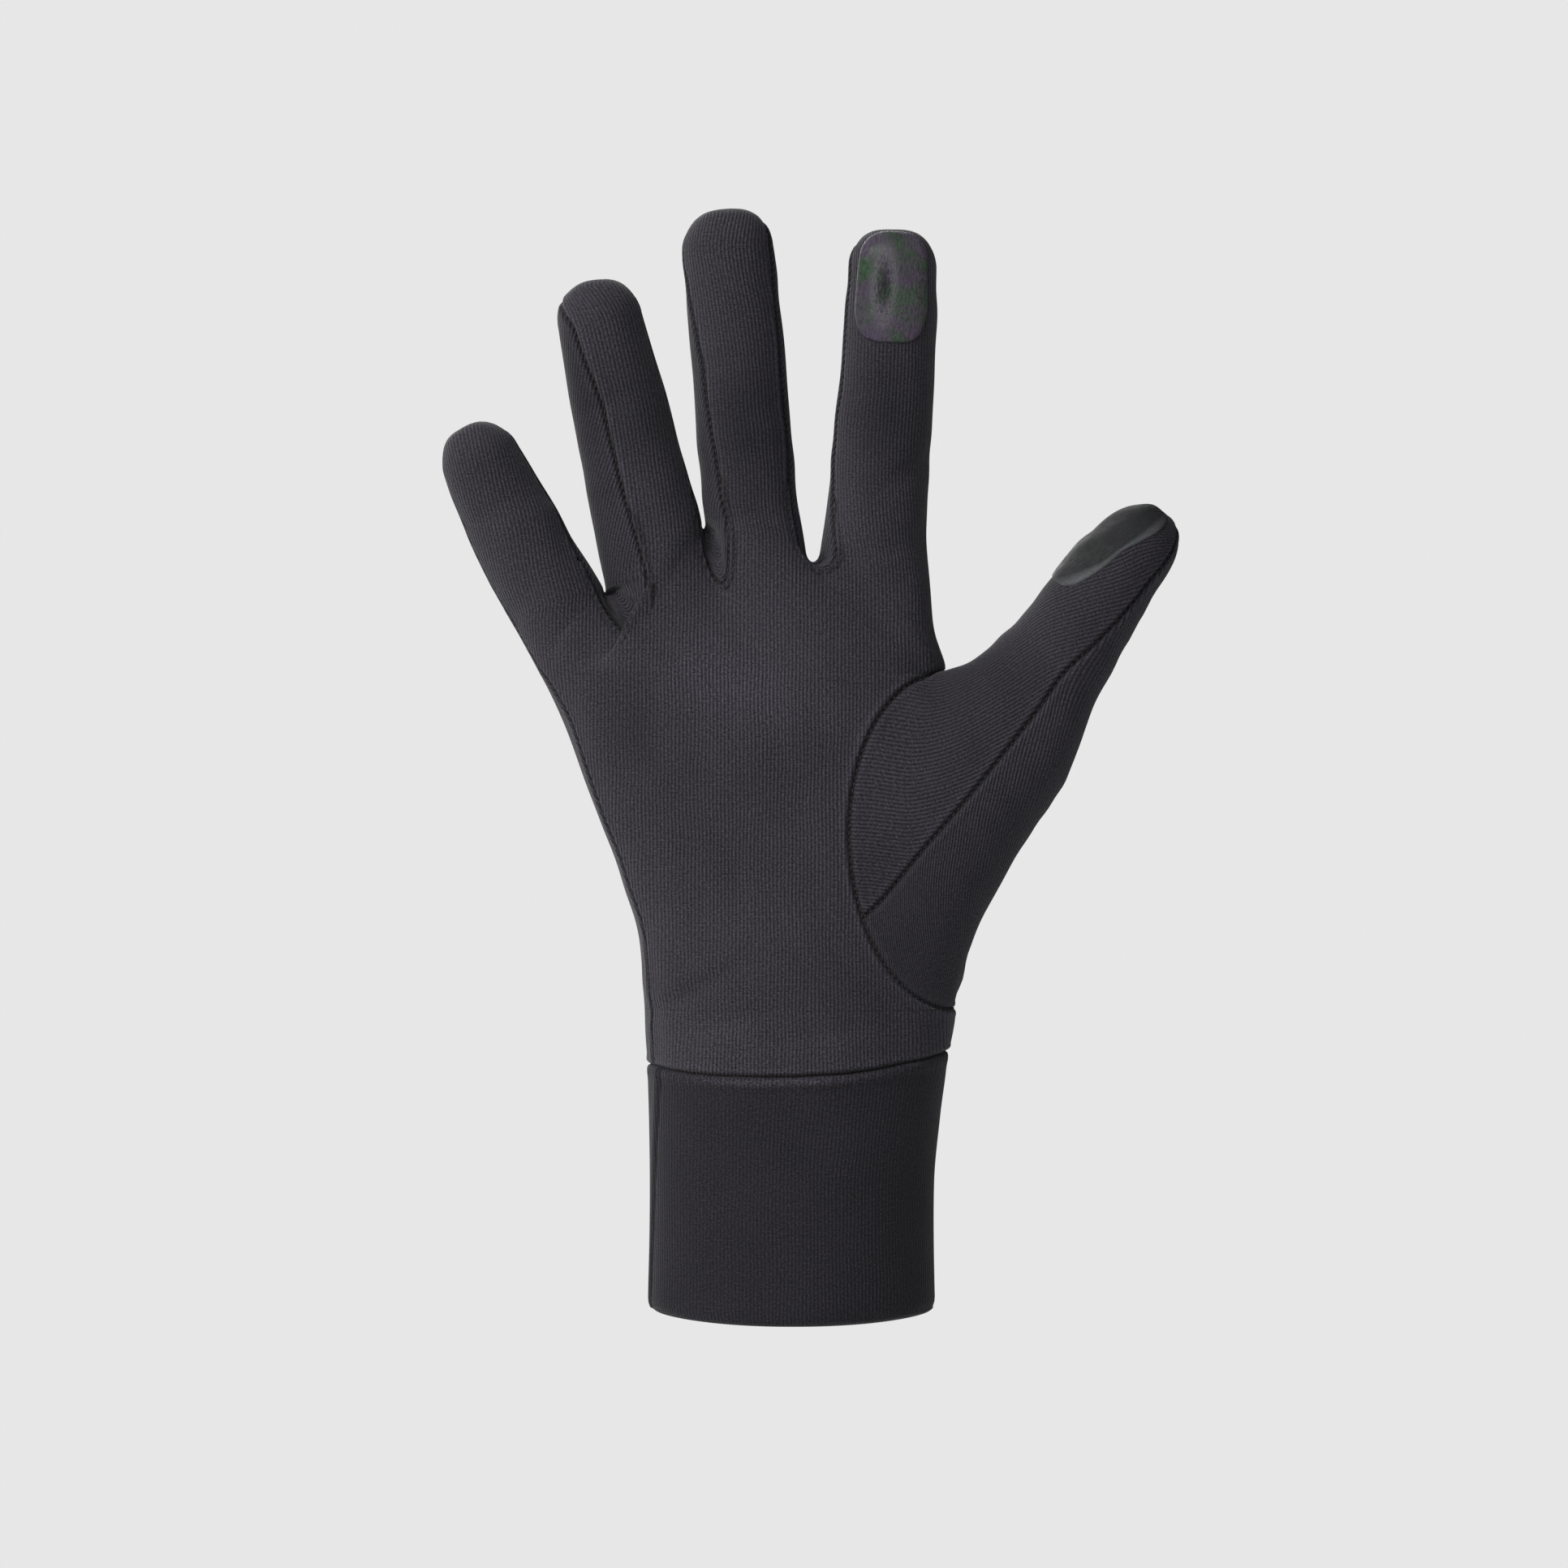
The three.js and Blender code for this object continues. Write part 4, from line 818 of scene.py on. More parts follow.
ends = len(sideSteps) - webShape["endRows"]
webLine = np.concatenate([denseLine(seamLines[web["name"] + "Front"][ends:-ends]) for web in webs])
surface, rub = {}, {}
for name, points in fine.items():
    fromSeam = distanceTo(points, dense)
    height = seamRelief(fromSeam) + relief(points, direction[name])
    # painted light and shade: the listed spots, and the painted shade and highlight along the seams
    rub[name] = paintedShadeAt(points, direction[name]) + seamPaintedShading(fromSeam)
    if name.startswith("web"):
        # a dark pocket in the bottom of each web, just behind its front seam
        turn = ((webRows - sideRows) / coarse["web"] - 0.5)[:, None]
        side = (webColumns / coarse["side"])[None, :]
        pocket = bell(turn, webShape["hollowTurn"]) * bell(side - webShape["hollowAt"], webShape["hollowWidth"])
        height = height - webShape["hollow"] * pocket
    if name.startswith("front"):
        # a low rolled edge of cloth outside the seam of each web, and a groove beyond it darkened with painted shade
        fromWeb = distanceTo(points, webLine)
        groove = bell(fromWeb - webShape["grooveAt"], webShape["grooveWidth"])
        height = height + webShape["rim"] * bell(fromWeb - webShape["rimAt"], webShape["rimWidth"])
        height = height - webShape["groove"] * groove
        rub[name] = rub[name] - webShape["dark"] * groove
    surface[name] = points + direction[name] * height[..., None]
print("relief done")


def gridFaces(ids, flip):
    quads = gridQuads(ids, flip)
    doubled = np.stack([quads[:, k] == quads[:, (k + 1) % 4] for k in range(4)], axis=1)
    faces = quads[~doubled.any(1)].tolist()
    for k in range(4):
        rows = quads[doubled[:, k] & (doubled.sum(1) == 1)]
        faces += np.delete(rows, k, axis=1).tolist()
    return faces


def meshPiece(name, points, faces, grainAt, material, replaced, paintedShadeHere=None):
    # a Blender mesh with the knit's coordinates as its UV map and the painted light and shade as an attribute
    mesh = bpy.data.meshes.new(name)
    mesh.from_pydata((points * mm).tolist(), [], faces)
    corners = np.zeros(len(mesh.loops), dtype=np.int32)
    mesh.loops.foreach_get("vertex_index", corners)
    layer = mesh.uv_layers.new(name="grain")
    layer.data.foreach_set("uv", grainAt[corners].astype(np.float32).ravel())
    mesh.polygons.foreach_set("use_smooth", np.ones(len(mesh.polygons), dtype=bool))
    if paintedShadeHere is not None:
        mesh.attributes.new("rub", "FLOAT", "POINT").data.foreach_set("value", paintedShadeHere.astype(np.float32))
    mesh.materials.append(material)
    mesh.validate()
    mesh.update()
    piece = bpy.data.objects.new(name, mesh)
    bpy.context.scene.collection.objects.link(piece)
    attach(piece, "root")
    if replaced:
        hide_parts(replaced)
    print("piece", name, len(points), "points")
    return piece


def wallPiece(name, parts, wall, material, replaced):
    # the outer skin of the grids in parts, an inner skin one wall further in, and a rim between them
    count = 1 + max(int(ids.max()) for ids in parts.values())
    outer, inner = np.zeros((2, count, 3))
    grainAt, paintedShadeHere = np.zeros((count, 2)), np.zeros(count)
    faces = []
    for key, ids in parts.items():
        flat = ids.ravel()
        outer[flat] = surface[key].reshape(-1, 3)
        inner[flat] = (fine[key] - direction[key] * wall).reshape(-1, 3)
        grainAt[flat] = grain[key].reshape(-1, 2)
        paintedShadeHere[flat] = rub[key].ravel()
        faces += gridFaces(ids, turned[key])
    edges = np.array([[face[k], face[(k + 1) % len(face)]] for face in faces for k in range(len(face))])
    forward = edges[:, 0].astype(np.int64) * count + edges[:, 1]
    backward = edges[:, 1].astype(np.int64) * count + edges[:, 0]
    rim = edges[~np.isin(forward, backward)]
    rimFaces = np.stack([rim[:, 1], rim[:, 0], rim[:, 0] + count, rim[:, 1] + count], axis=1).tolist()
    innerFaces = [[corner + count for corner in face[::-1]] for face in faces]
    points = np.concatenate([outer, inner])
    used = np.zeros(2 * count, dtype=bool)
    used[[corner for face in faces + innerFaces for corner in face]] = True
    newId = np.cumsum(used) - 1
    allFaces = [[int(newId[corner]) for corner in face] for face in faces + rimFaces + innerFaces]
    grainAt, paintedShadeHere = np.concatenate([grainAt, grainAt])[used], np.concatenate([paintedShadeHere, 0 * paintedShadeHere])[used]
    return meshPiece(name, points[used], allFaces, grainAt, material, replaced, paintedShadeHere)


def link(tree, source, target):
    tree.links.new(source, target)


def fill(tree, socket, value):
    # a node's output is linked to the socket, and a plain number or colour is set on it
    if isinstance(value, (int, float, tuple)):
        socket.default_value = value
    elif value is not None:
        link(tree, value, socket)


def node(tree, kind, **settings):
    made = tree.nodes.new(kind)
    for key, value in settings.items():
        setattr(made, key, value)
    return made


def maths(tree, operation, *values, clamp=False):
    made = node(tree, "ShaderNodeMath", operation=operation, use_clamp=clamp)
    for socket, value in zip(made.inputs, values):
        fill(tree, socket, value)
    return made.outputs[0]


def noise(tree, vector, scale, detail=2.0, roughness=0.5):
    made = node(tree, "ShaderNodeTexNoise")
    for name, value in (("Vector", vector), ("Scale", scale), ("Detail", detail), ("Roughness", roughness)):
        fill(tree, made.inputs[name], value)
    return made.outputs["Fac"]


def stretch(tree, value, gain):
    # more contrast about the middle of a 0 to 1 value
    return maths(tree, "MULTIPLY_ADD", value, gain, 0.5 - gain / 2, clamp=True)


def mixColour(tree, share, first, second, blend="MIX"):
    made = node(tree, "ShaderNodeMix", data_type="RGBA", blend_type=blend)
    for socket, value in ((0, share), (6, first), (7, second)):
        fill(tree, made.inputs[socket], value)
    return made.outputs[2]


def centred(tree, value, middle=0.5):
    return maths(tree, "SUBTRACT", value, middle)


def makeMaterial(name, uniform):
    # a material whose uniform values are set directly on its Principled shader
    material = bpy.data.materials.new(name)
    material.use_nodes = True
    tree = material.node_tree
    shader = tree.nodes["Principled BSDF"]
    for socket, value in uniform.items():
        shader.inputs[socket].default_value = value
    return material, tree, shader


def addBump(tree, shader, height, strength, distance):
    bump = node(tree, "ShaderNodeBump")
    bump.inputs["Strength"].default_value = strength
    bump.inputs["Distance"].default_value = distance * mm
    link(tree, height, bump.inputs["Height"])
    link(tree, bump.outputs[0], shader.inputs["Normal"])


knitShape = {"slowScale": 0.07, "slowWaver": 1.1, "fuzzScale": 2.1, "fuzzRoughness": 0.7, "broadScale": 0.045,
             "slant": 1.6, "loopHeight": 0.35, "fuzzHeight": 0.5, "lightFrom": -1.22, "fuzzShow": 2.7,
             "broadShow": 0.35, "fuzzGloss": 0.16, "bumpStrength": 0.8}


def makeKnitGroup():
    # ribs run along the second coordinate, and each is a chain of small V-shaped stitches with a fuzz over it
    group = bpy.data.node_groups.new("knitGrain", "ShaderNodeTree")
    sockets = group.interface
    sockets.new_socket("Grain", in_out="INPUT", socket_type="NodeSocketVector")
    for name, value in (("Rib Width", 0.8), ("Stitch Length", 0.6), ("Waver", 0.2)):
        sockets.new_socket(name, in_out="INPUT", socket_type="NodeSocketFloat").default_value = value
    for name in ("Height", "Crest", "Loop", "Fuzz", "Broad"):
        sockets.new_socket(name, in_out="OUTPUT", socket_type="NodeSocketFloat")
    enter, leave = node(group, "NodeGroupInput").outputs, node(group, "NodeGroupOutput").inputs
    calc = partial(maths, group)
    split = node(group, "ShaderNodeSeparateXYZ")
    link(group, enter["Grain"], split.inputs[0])
    slow = noise(group, enter["Grain"], knitShape["slowScale"], 1)
    fuzz = noise(group, enter["Grain"], knitShape["fuzzScale"], 3, knitShape["fuzzRoughness"])
    waver = calc("MULTIPLY", centred(group, slow), knitShape["slowWaver"])
    waver = calc("ADD", waver, calc("MULTIPLY", centred(group, fuzz), enter["Waver"]))
    across = calc("ADD", calc("DIVIDE", split.outputs[0], enter["Rib Width"]), waver)
    fromCrest = calc("SUBTRACT", calc("FRACT", across), 0.5)
    crest = calc("MULTIPLY_ADD", calc("COSINE", calc("MULTIPLY", fromCrest, 2 * np.pi)), 0.5, 0.5)
    slant = calc("MULTIPLY", calc("ABSOLUTE", fromCrest), knitShape["slant"])
    along = calc("ADD", calc("DIVIDE", split.outputs[1], enter["Stitch Length"]), slant)
    loop = calc("SINE", calc("MULTIPLY", calc("FRACT", along), np.pi))
    loopPart = calc("MULTIPLY_ADD", loop, knitShape["loopHeight"], 1 - knitShape["loopHeight"])
    height = calc("ADD", calc("MULTIPLY", crest, loopPart), calc("MULTIPLY", fuzz, knitShape["fuzzHeight"]))
    link(group, height, leave["Height"])
    link(group, crest, leave["Crest"])
    link(group, calc("MULTIPLY", crest, loop), leave["Loop"])
    link(group, fuzz, leave["Fuzz"])
    link(group, noise(group, enter["Grain"], knitShape["broadScale"], 3), leave["Broad"])
    return group


knits = {
    "knitBody": {"dark": (0.0085, 0.0075, 0.0100, 1), "light": (0.072, 0.065, 0.085, 1), "rib": 0.8, "stitch": 0.62,
                 "waver": 0.5, "ribShow": 0.3, "bump": 0.24, "roughness": 0.86, "sheen": 0.12},
    "knitSide": {"dark": (0.0060, 0.0054, 0.0072, 1), "light": (0.056, 0.050, 0.066, 1), "rib": 0.8, "stitch": 0.62,
                 "waver": 0.3, "ribShow": 0.34, "bump": 0.26, "roughness": 0.88, "sheen": 0.08},
    "knitBand": {"dark": (0.0065, 0.0058, 0.0080, 1), "light": (0.044, 0.039, 0.052, 1), "rib": 0.8, "stitch": 0.66,
                 "waver": 0.5, "ribShow": 0.12, "bump": 0.17, "roughness": 0.88, "sheen": 0.1},
}


knitGroup = makeKnitGroup()


def makeKnit(name, look):
    uniform = {"Sheen Weight": look["sheen"], "Sheen Roughness": 0.4, "Specular IOR Level": 0.35}
    material, tree, shader = makeMaterial(name, uniform)
    calc = partial(maths, tree)
    knit = node(tree, "ShaderNodeGroup", node_tree=knitGroup)
    for socket, value in (("Rib Width", "rib"), ("Stitch Length", "stitch"), ("Waver", "waver")):
        knit.inputs[socket].default_value = look[value]
    link(tree, node(tree, "ShaderNodeUVMap", uv_map="grain").outputs[0], knit.inputs["Grain"])
    # light thread on the crests, flecked by the fuzz and varied slowly over the cloth
    share = calc("MULTIPLY_ADD", knit.outputs["Crest"], look["ribShow"], knitShape["lightFrom"])
    share = calc("MULTIPLY_ADD", knit.outputs["Loop"], look["ribShow"], share)
    share = calc("MULTIPLY_ADD", knit.outputs["Fuzz"], knitShape["fuzzShow"], share, clamp=True)
    share = calc("MULTIPLY_ADD", centred(tree, knit.outputs["Broad"]), knitShape["broadShow"], share, clamp=True)
    colour = mixColour(tree, share, look["dark"], look["light"])
    # the painted light and shade carried by the mesh attribute scale the knit's colour
    paintedTone = node(tree, "ShaderNodeAttribute", attribute_type="GEOMETRY", attribute_name="rub").outputs["Fac"]
    colour = mixColour(tree, 1.0, colour, calc("ADD", paintedTone, 1.0), "MULTIPLY")
    link(tree, colour, shader.inputs["Base Color"])
    gloss = knitShape["fuzzGloss"]
    roughness = calc("MULTIPLY_ADD", knit.outputs["Fuzz"], -gloss, look["roughness"] + gloss / 2)
    link(tree, roughness, shader.inputs["Roughness"])
    addBump(tree, shader, knit.outputs["Height"], knitShape["bumpStrength"], look["bump"])
    return material


def makeThread():
    # dark sewing thread with a fine twist
    material, tree, shader = makeMaterial("sewingThread", {"Specular IOR Level": 0.4})
    fleck = noise(tree, node(tree, "ShaderNodeTexCoord").outputs["Object"], 2600, 2)
    colour = mixColour(tree, fleck, (0.012, 0.011, 0.013, 1), (0.055, 0.052, 0.06, 1))
    link(tree, colour, shader.inputs["Base Color"])
    link(tree, maths(tree, "MULTIPLY_ADD", fleck, 0.2, 0.5), shader.inputs["Roughness"])
    return material


films = {
    "index": {"width": 14, "length": 25, "beyondTip": 0.2, "widest": 0.95, "thick": 0.45, "corner": 3.6},
    "thumb": {"width": 13, "length": 25, "angle": -52, "twist": 24, "beyondTube": -0.006, "tubeReach": 0.63,
              "domeReach": 0.204, "widest": 0.95, "thick": 0.4, "corner": 3.2},
}
filmEdge = {"ease": 1.3, "rounding": 0.7, "lift": 0.15, "sink": 0.1, "crease": 0.1}
# the colour of the pale ring is a painted highlight round the streak
filmPaint = {"worn": (0.008, 0.008, 0.010, 1), "scuffed": (0.17, 0.165, 0.18, 1), "streak": (0.007, 0.007, 0.009, 1),
             # the edge colour is a painted highlight along the film's edge
             "edge": (0.15, 0.155, 0.16, 1), "streakPlace": (-1.6, -0.5), "streakHalf": (1.25, 4.2),
             "ringAt": 1.65, "ringWidth": 0.55, "streakEnd": 1.15, "broken": 0.9, "tintStops": (0.3, 0.43, 0.57, 0.72),
             "tintSpeckle": 0.4, "fibreStretch": (1.9, 0.7, 1), "fibreLean": 0.4, "fibres": (1.1, 4, 0.75),
             "fibreGain": 3.2, "speckle": (1.9, 3, 0.75), "speckleGain": 2.6, "patches": (0.17, 2, 0.5),
             "patchGain": 2.2, "fibreGloss": 0.25, "speckleHeight": 0.5, "bumpStrength": 0.9}
filmLooks = {
    "index": {"tints": ((0.1, 0.07, 0.125, 1), (0.082, 0.078, 0.09, 1), (0.07, 0.078, 0.077, 1),
                        (0.045, 0.1, 0.05, 1)),
              "specular": 0.5, "roughness": 0.66, "coat": 0.35, "bump": 0.45, "fibreShow": 0.8, "streakShow": 1.0,
              "scuff": 1.3, "edge": 0.5, "edgeGrow": 0.3, "edgeShow": 0.5},
    # the thumb's film is the same film as the index's, given far darker tints as painted shade, and a wide painted
    # highlight along its edge
    "thumb": {"tints": ((0.019, 0.018, 0.021, 1), (0.021, 0.021, 0.023, 1), (0.024, 0.025, 0.026, 1),
                        (0.018, 0.0195, 0.019, 1)),
              "specular": 0.25, "roughness": 0.78, "coat": 0.0, "bump": 0.1, "fibreShow": 0.4, "streakShow": 0.0,
              "scuff": 0.0, "edge": 0.8, "edgeGrow": 4.4, "edgeShow": 1.0},
}


def makeFilm(name, look, size):
    # a printed film: grey with green and purple patches, a dark streak down its middle with a painted highlight round
    # it, pressed fibres, and a painted highlight along its edge
    material, tree, shader = makeMaterial(name, {"Specular IOR Level": look["specular"], "Coat Roughness": 0.35})
    calc = partial(maths, tree)
    grainMap = node(tree, "ShaderNodeUVMap", uv_map="grain").outputs[0]
    leaning = node(tree, "ShaderNodeMapping")
    leaning.inputs["Scale"].default_value = filmPaint["fibreStretch"]
    leaning.inputs["Rotation"].default_value = (0, 0, filmPaint["fibreLean"])
    link(tree, grainMap, leaning.inputs["Vector"])
    fibres = stretch(tree, noise(tree, leaning.outputs[0], *filmPaint["fibres"]), filmPaint["fibreGain"])
    speckle = stretch(tree, noise(tree, grainMap, *filmPaint["speckle"]), filmPaint["speckleGain"])
    patches = stretch(tree, noise(tree, grainMap, *filmPaint["patches"]), filmPaint["patchGain"])
    ramp = node(tree, "ShaderNodeValToRGB")
    stops = ramp.color_ramp.elements
    first, second, third, last = zip(filmPaint["tintStops"], look["tints"])
    (stops[0].position, stops[0].color), (stops[1].position, stops[1].color) = first, last
    for position, tint in (second, third):
        stops.new(position).color = tint
    link(tree, calc("MULTIPLY_ADD", centred(tree, speckle), filmPaint["tintSpeckle"], patches), ramp.inputs[0])
    split = node(tree, "ShaderNodeSeparateXYZ")
    link(tree, grainMap, split.inputs[0])
    shade = calc("MULTIPLY_ADD", fibres, look["fibreShow"], 1 - 0.7 * look["fibreShow"], clamp=True)
    colour = mixColour(tree, shade, filmPaint["worn"], ramp.outputs[0])
    # a painted highlight in pale flecks round an upright ellipse, and the dark streak inside it
    shares = [calc("DIVIDE", centred(tree, split.outputs[k], filmPaint["streakPlace"][k]), filmPaint["streakHalf"][k])
              for k in range(2)]
    distance = calc("SQRT", calc("ADD", *(calc("MULTIPLY", share, share) for share in shares)))
    broken = calc("MULTIPLY_ADD", centred(tree, fibres), filmPaint["broken"], distance)
    fromRing = calc("DIVIDE", centred(tree, broken, filmPaint["ringAt"]), filmPaint["ringWidth"])
    ring = calc("EXPONENT", calc("MULTIPLY", calc("MULTIPLY", fromRing, fromRing), -1.0))
    scuff = calc("MULTIPLY", ring, calc("MULTIPLY", speckle, look["scuff"]), clamp=True)
    colour = mixColour(tree, scuff, colour, filmPaint["scuffed"])
    inside = calc("MULTIPLY", calc("SUBTRACT", filmPaint["streakEnd"], broken), look["streakShow"], clamp=True)
    colour = mixColour(tree, inside, colour, filmPaint["streak"])
    # a painted highlight along the film's edge where it meets the cloth, wider towards its two ends
    endShare = calc("DIVIDE", split.outputs[1], size["length"] / 2)
    wide = calc("MULTIPLY_ADD", calc("MULTIPLY", endShare, endShare), look["edgeGrow"], look["edge"])
    inward = calc("SUBTRACT", size["width"] / 2, split.outputs[0])
    pale = calc("SUBTRACT", 1.0, calc("DIVIDE", inward, wide), clamp=True)
    mottle = calc("MULTIPLY_ADD", speckle, 0.5 * look["edgeShow"], 0.6 * look["edgeShow"])
    colour = mixColour(tree, calc("MULTIPLY", pale, mottle, clamp=True), colour, filmPaint["edge"])
    link(tree, colour, shader.inputs["Base Color"])
    gloss = calc("MULTIPLY_ADD", fibres, -filmPaint["fibreGloss"], look["roughness"])
    link(tree, gloss, shader.inputs["Roughness"])
    link(tree, calc("MULTIPLY", fibres, look["coat"]), shader.inputs["Coat Weight"])
    height = calc("MULTIPLY_ADD", speckle, filmPaint["speckleHeight"], fibres)
    addBump(tree, shader, height, filmPaint["bumpStrength"], look["bump"])
    return material


knitBody, knitSide, knitBand = (makeKnit(name, look) for name, look in knits.items())
thread = makeThread()
# the thumb's film material is a darker copy of the index's, with painted shade
indexFilm, shadedThumbFilm = (makeFilm(name + "Film", look, films[name]) for name, look in filmLooks.items())


clothWall = 1.1


def numbered(grid, start=0):
    # ids of a grid's points, in which the last row is one point, the tip
    ids = start + np.arange(grid.shape[0] * grid.shape[1]).reshape(grid.shape[:2])
    ids[-1] = ids[-1, 0]
    return ids


for side, name in (("front", "palm"), ("back", "back")):
    shape = surface[side + "Hand"].shape[:2]
    parts = {side + "Hand": np.arange(shape[0] * shape[1]).reshape(shape)}
    nextId = shape[0] * shape[1]
    for i, finger in enumerate(fingerOrder):
        ids = numbered(surface[side + finger], nextId)
        nextId += ids.size
        ids[0] = parts[side + "Hand"][0, underFinger(i)]
        parts[side + finger] = ids
    wallPiece(name + "_cloth", parts, clothWall, knitBody, name + "_panel")
for web in webs:
    key = "web" + web["name"]
    ids = numbered(surface[key])
    ids[0] = ids[0, 0]
    wallPiece("between_" + web["name"], {key: ids}, clothWall, knitSide, "fourchette_" + web["name"])
wallPiece("thumb_cloth", {"thumb": numbered(surface["thumb"])}, clothWall, knitSide, "thumb_sleeve")


# seam stitches: short lengths of thread lying in the seams, and a second row round each web
stitches = {"spacing": 1.5, "length": 0.95, "radius": 0.12, "bow": 0.12, "sink": 0.4, "webOffset": 1.25,
            "webSink": 0.3, "webRows": (14, 12), "sides": 6, "rings": 5}


def stitchRow(line, away, offset=0.0, sink=stitches["sink"]):
    # capsules of thread at even steps along a line, each a short tube whose ends are drawn in
    look = stitches
    length = runLength(line)
    keep = np.concatenate([[True], np.diff(length) > 1e-4])
    line, away, length = line[keep], away[keep], length[keep]
    middle = np.arange(look["spacing"] / 2, length[-1], look["spacing"])
    at = middle[:, None] + np.linspace(-0.5, 0.5, look["rings"])[None] * look["length"]
    at = np.clip(at, 0, length[-1])

    def along(values):
        return np.stack([np.interp(at, length, values[:, k]) for k in range(3)], axis=-1)

    spine, up = along(line), unit(along(away))
    forward = unit(along(unit(np.gradient(line, axis=0))))
    side = unit(np.cross(forward, up))
    up = np.cross(side, forward)
    bow = look["bow"] * np.cos(np.linspace(-np.pi / 2, np.pi / 2, look["rings"]))[None, :, None]
    height = relief(spine, up)[..., None] - sink + bow
    spine = spine + up * height + side * offset
    thick = look["radius"] * np.sqrt(np.clip(1 - np.linspace(-0.96, 0.96, look["rings"]) ** 4, 0, 1))
    turn = np.linspace(0, 2 * np.pi, look["sides"] + 1)[:-1]
    ring = np.cos(turn)[:, None, None, None] * side + np.sin(turn)[:, None, None, None] * up
    points = spine[None] + ring * thick[None, None, :, None]
    return np.moveaxis(points, 0, 2)  # stitch, ring, side, xyz


stitchRows = [stitchRow(seamLines[name], seamAway[name]) for name in seamLines if not name.startswith("wrist")]
for web in webs:
    for side, way in (("Front", 1), ("Back", -1)):
        before, after = stitches["webRows"]
        middle = slice(len(sideSteps) - before, len(sideSteps) + len(webSteps) + after)
        line, away = seamLines[web["name"] + side][middle], seamAway[web["name"] + side][middle]
        stitchRows.append(stitchRow(line, away, way * stitches["webOffset"], stitches["webSink"]))


def stitchPiece():
    # every stitch is a tube of rings closed by a face at each end
    points = np.concatenate(stitchRows)
    count, rings, sides = points.shape[:3]
    ids = np.arange(rings * sides).reshape(rings, sides)
    quads = gridQuads(np.concatenate([ids, ids[:, :1]], axis=1), True)
    one = quads.tolist() + [ids[0].tolist(), ids[-1][::-1].tolist()]
    faces = [[corner + k * rings * sides for corner in face] for k in range(count) for face in one]
    flat = points.reshape(-1, 3)
    return meshPiece("seam_stitches", flat, faces, flat[:, [0, 2]], thread, None)


stitchPiece()

# the cuff is a folded band with a rounded hem and an upper edge drawn into the wrist seam
cuff = {"width": 61.6, "depth": 40, "wall": 2.4, "hemRise": 1.8, "roundness": 2.2, "tuck": 0.3,
        "rollDepth": 1.1, "rollWidth": 0.5, "bulge": 0.75, "bulgeAt": 1.9, "bulgeWidth": 1.2, "gather": 0.12,
        "gathers": 72, "hemRadius": 1.2, "hemDraw": 1.2, "hemReach": 3.2, "hemSteps": 13, "sidePitch": 0.42,
        "seamDepth": 0.5, "seamWidth": 0.5, "lap": 0.25, "lapAt": -2, "lapWidth": 1.4,
        "around": 288, "outerRows": 66, "outerEase": 1.25, "innerRows": 14}
# painted light and shade on the cuff: a highlight on the lip below the wrist seam, and shade in the wrist seam and the
# closing seam
cuffPaintedLight = {"lip": 0.2, "lipFront": 1.5, "lipAt": 1.6, "lipWidth": 0.9, "frontAngle": -8, "frontReach": 34,
            "wrist": 0.7, "seam": 0.6, "seamWidth": 0.45}
cuffBlend = curveThrough((0, 0.5, 0.75, 0.9, 1), (0, -0.2, 0.28, 0.75, 1))
cuffSeam = curveThrough((0, 0.5, 1), (-79, -73, -64))  # angle of the closing seam from hem to wrist


def cuffPoint(angle, at, inset):
    blend = cuffBlend(at)
    half = mix(cuff["width"], hand["wristWidth"], blend) / 2 - inset
    depth = mix(cuff["depth"], hand["wristDepth"], blend) / 2 - inset
    across = signedPower(sine(angle), 2 / cuff["roundness"])
    front = signedPower(cosine(angle), 2 / cuff["roundness"])
    low = cuff["hemRise"] * sine(angle) ** 2
    top = hand["cuffHeight"] + wristSeam(angle) + cuff["tuck"]
    x, y, z = np.broadcast_arrays(hand["wristShift"] * blend + half * across, -depth * front, mix(low, top, at))
    return np.stack([x, y, z], axis=-1)


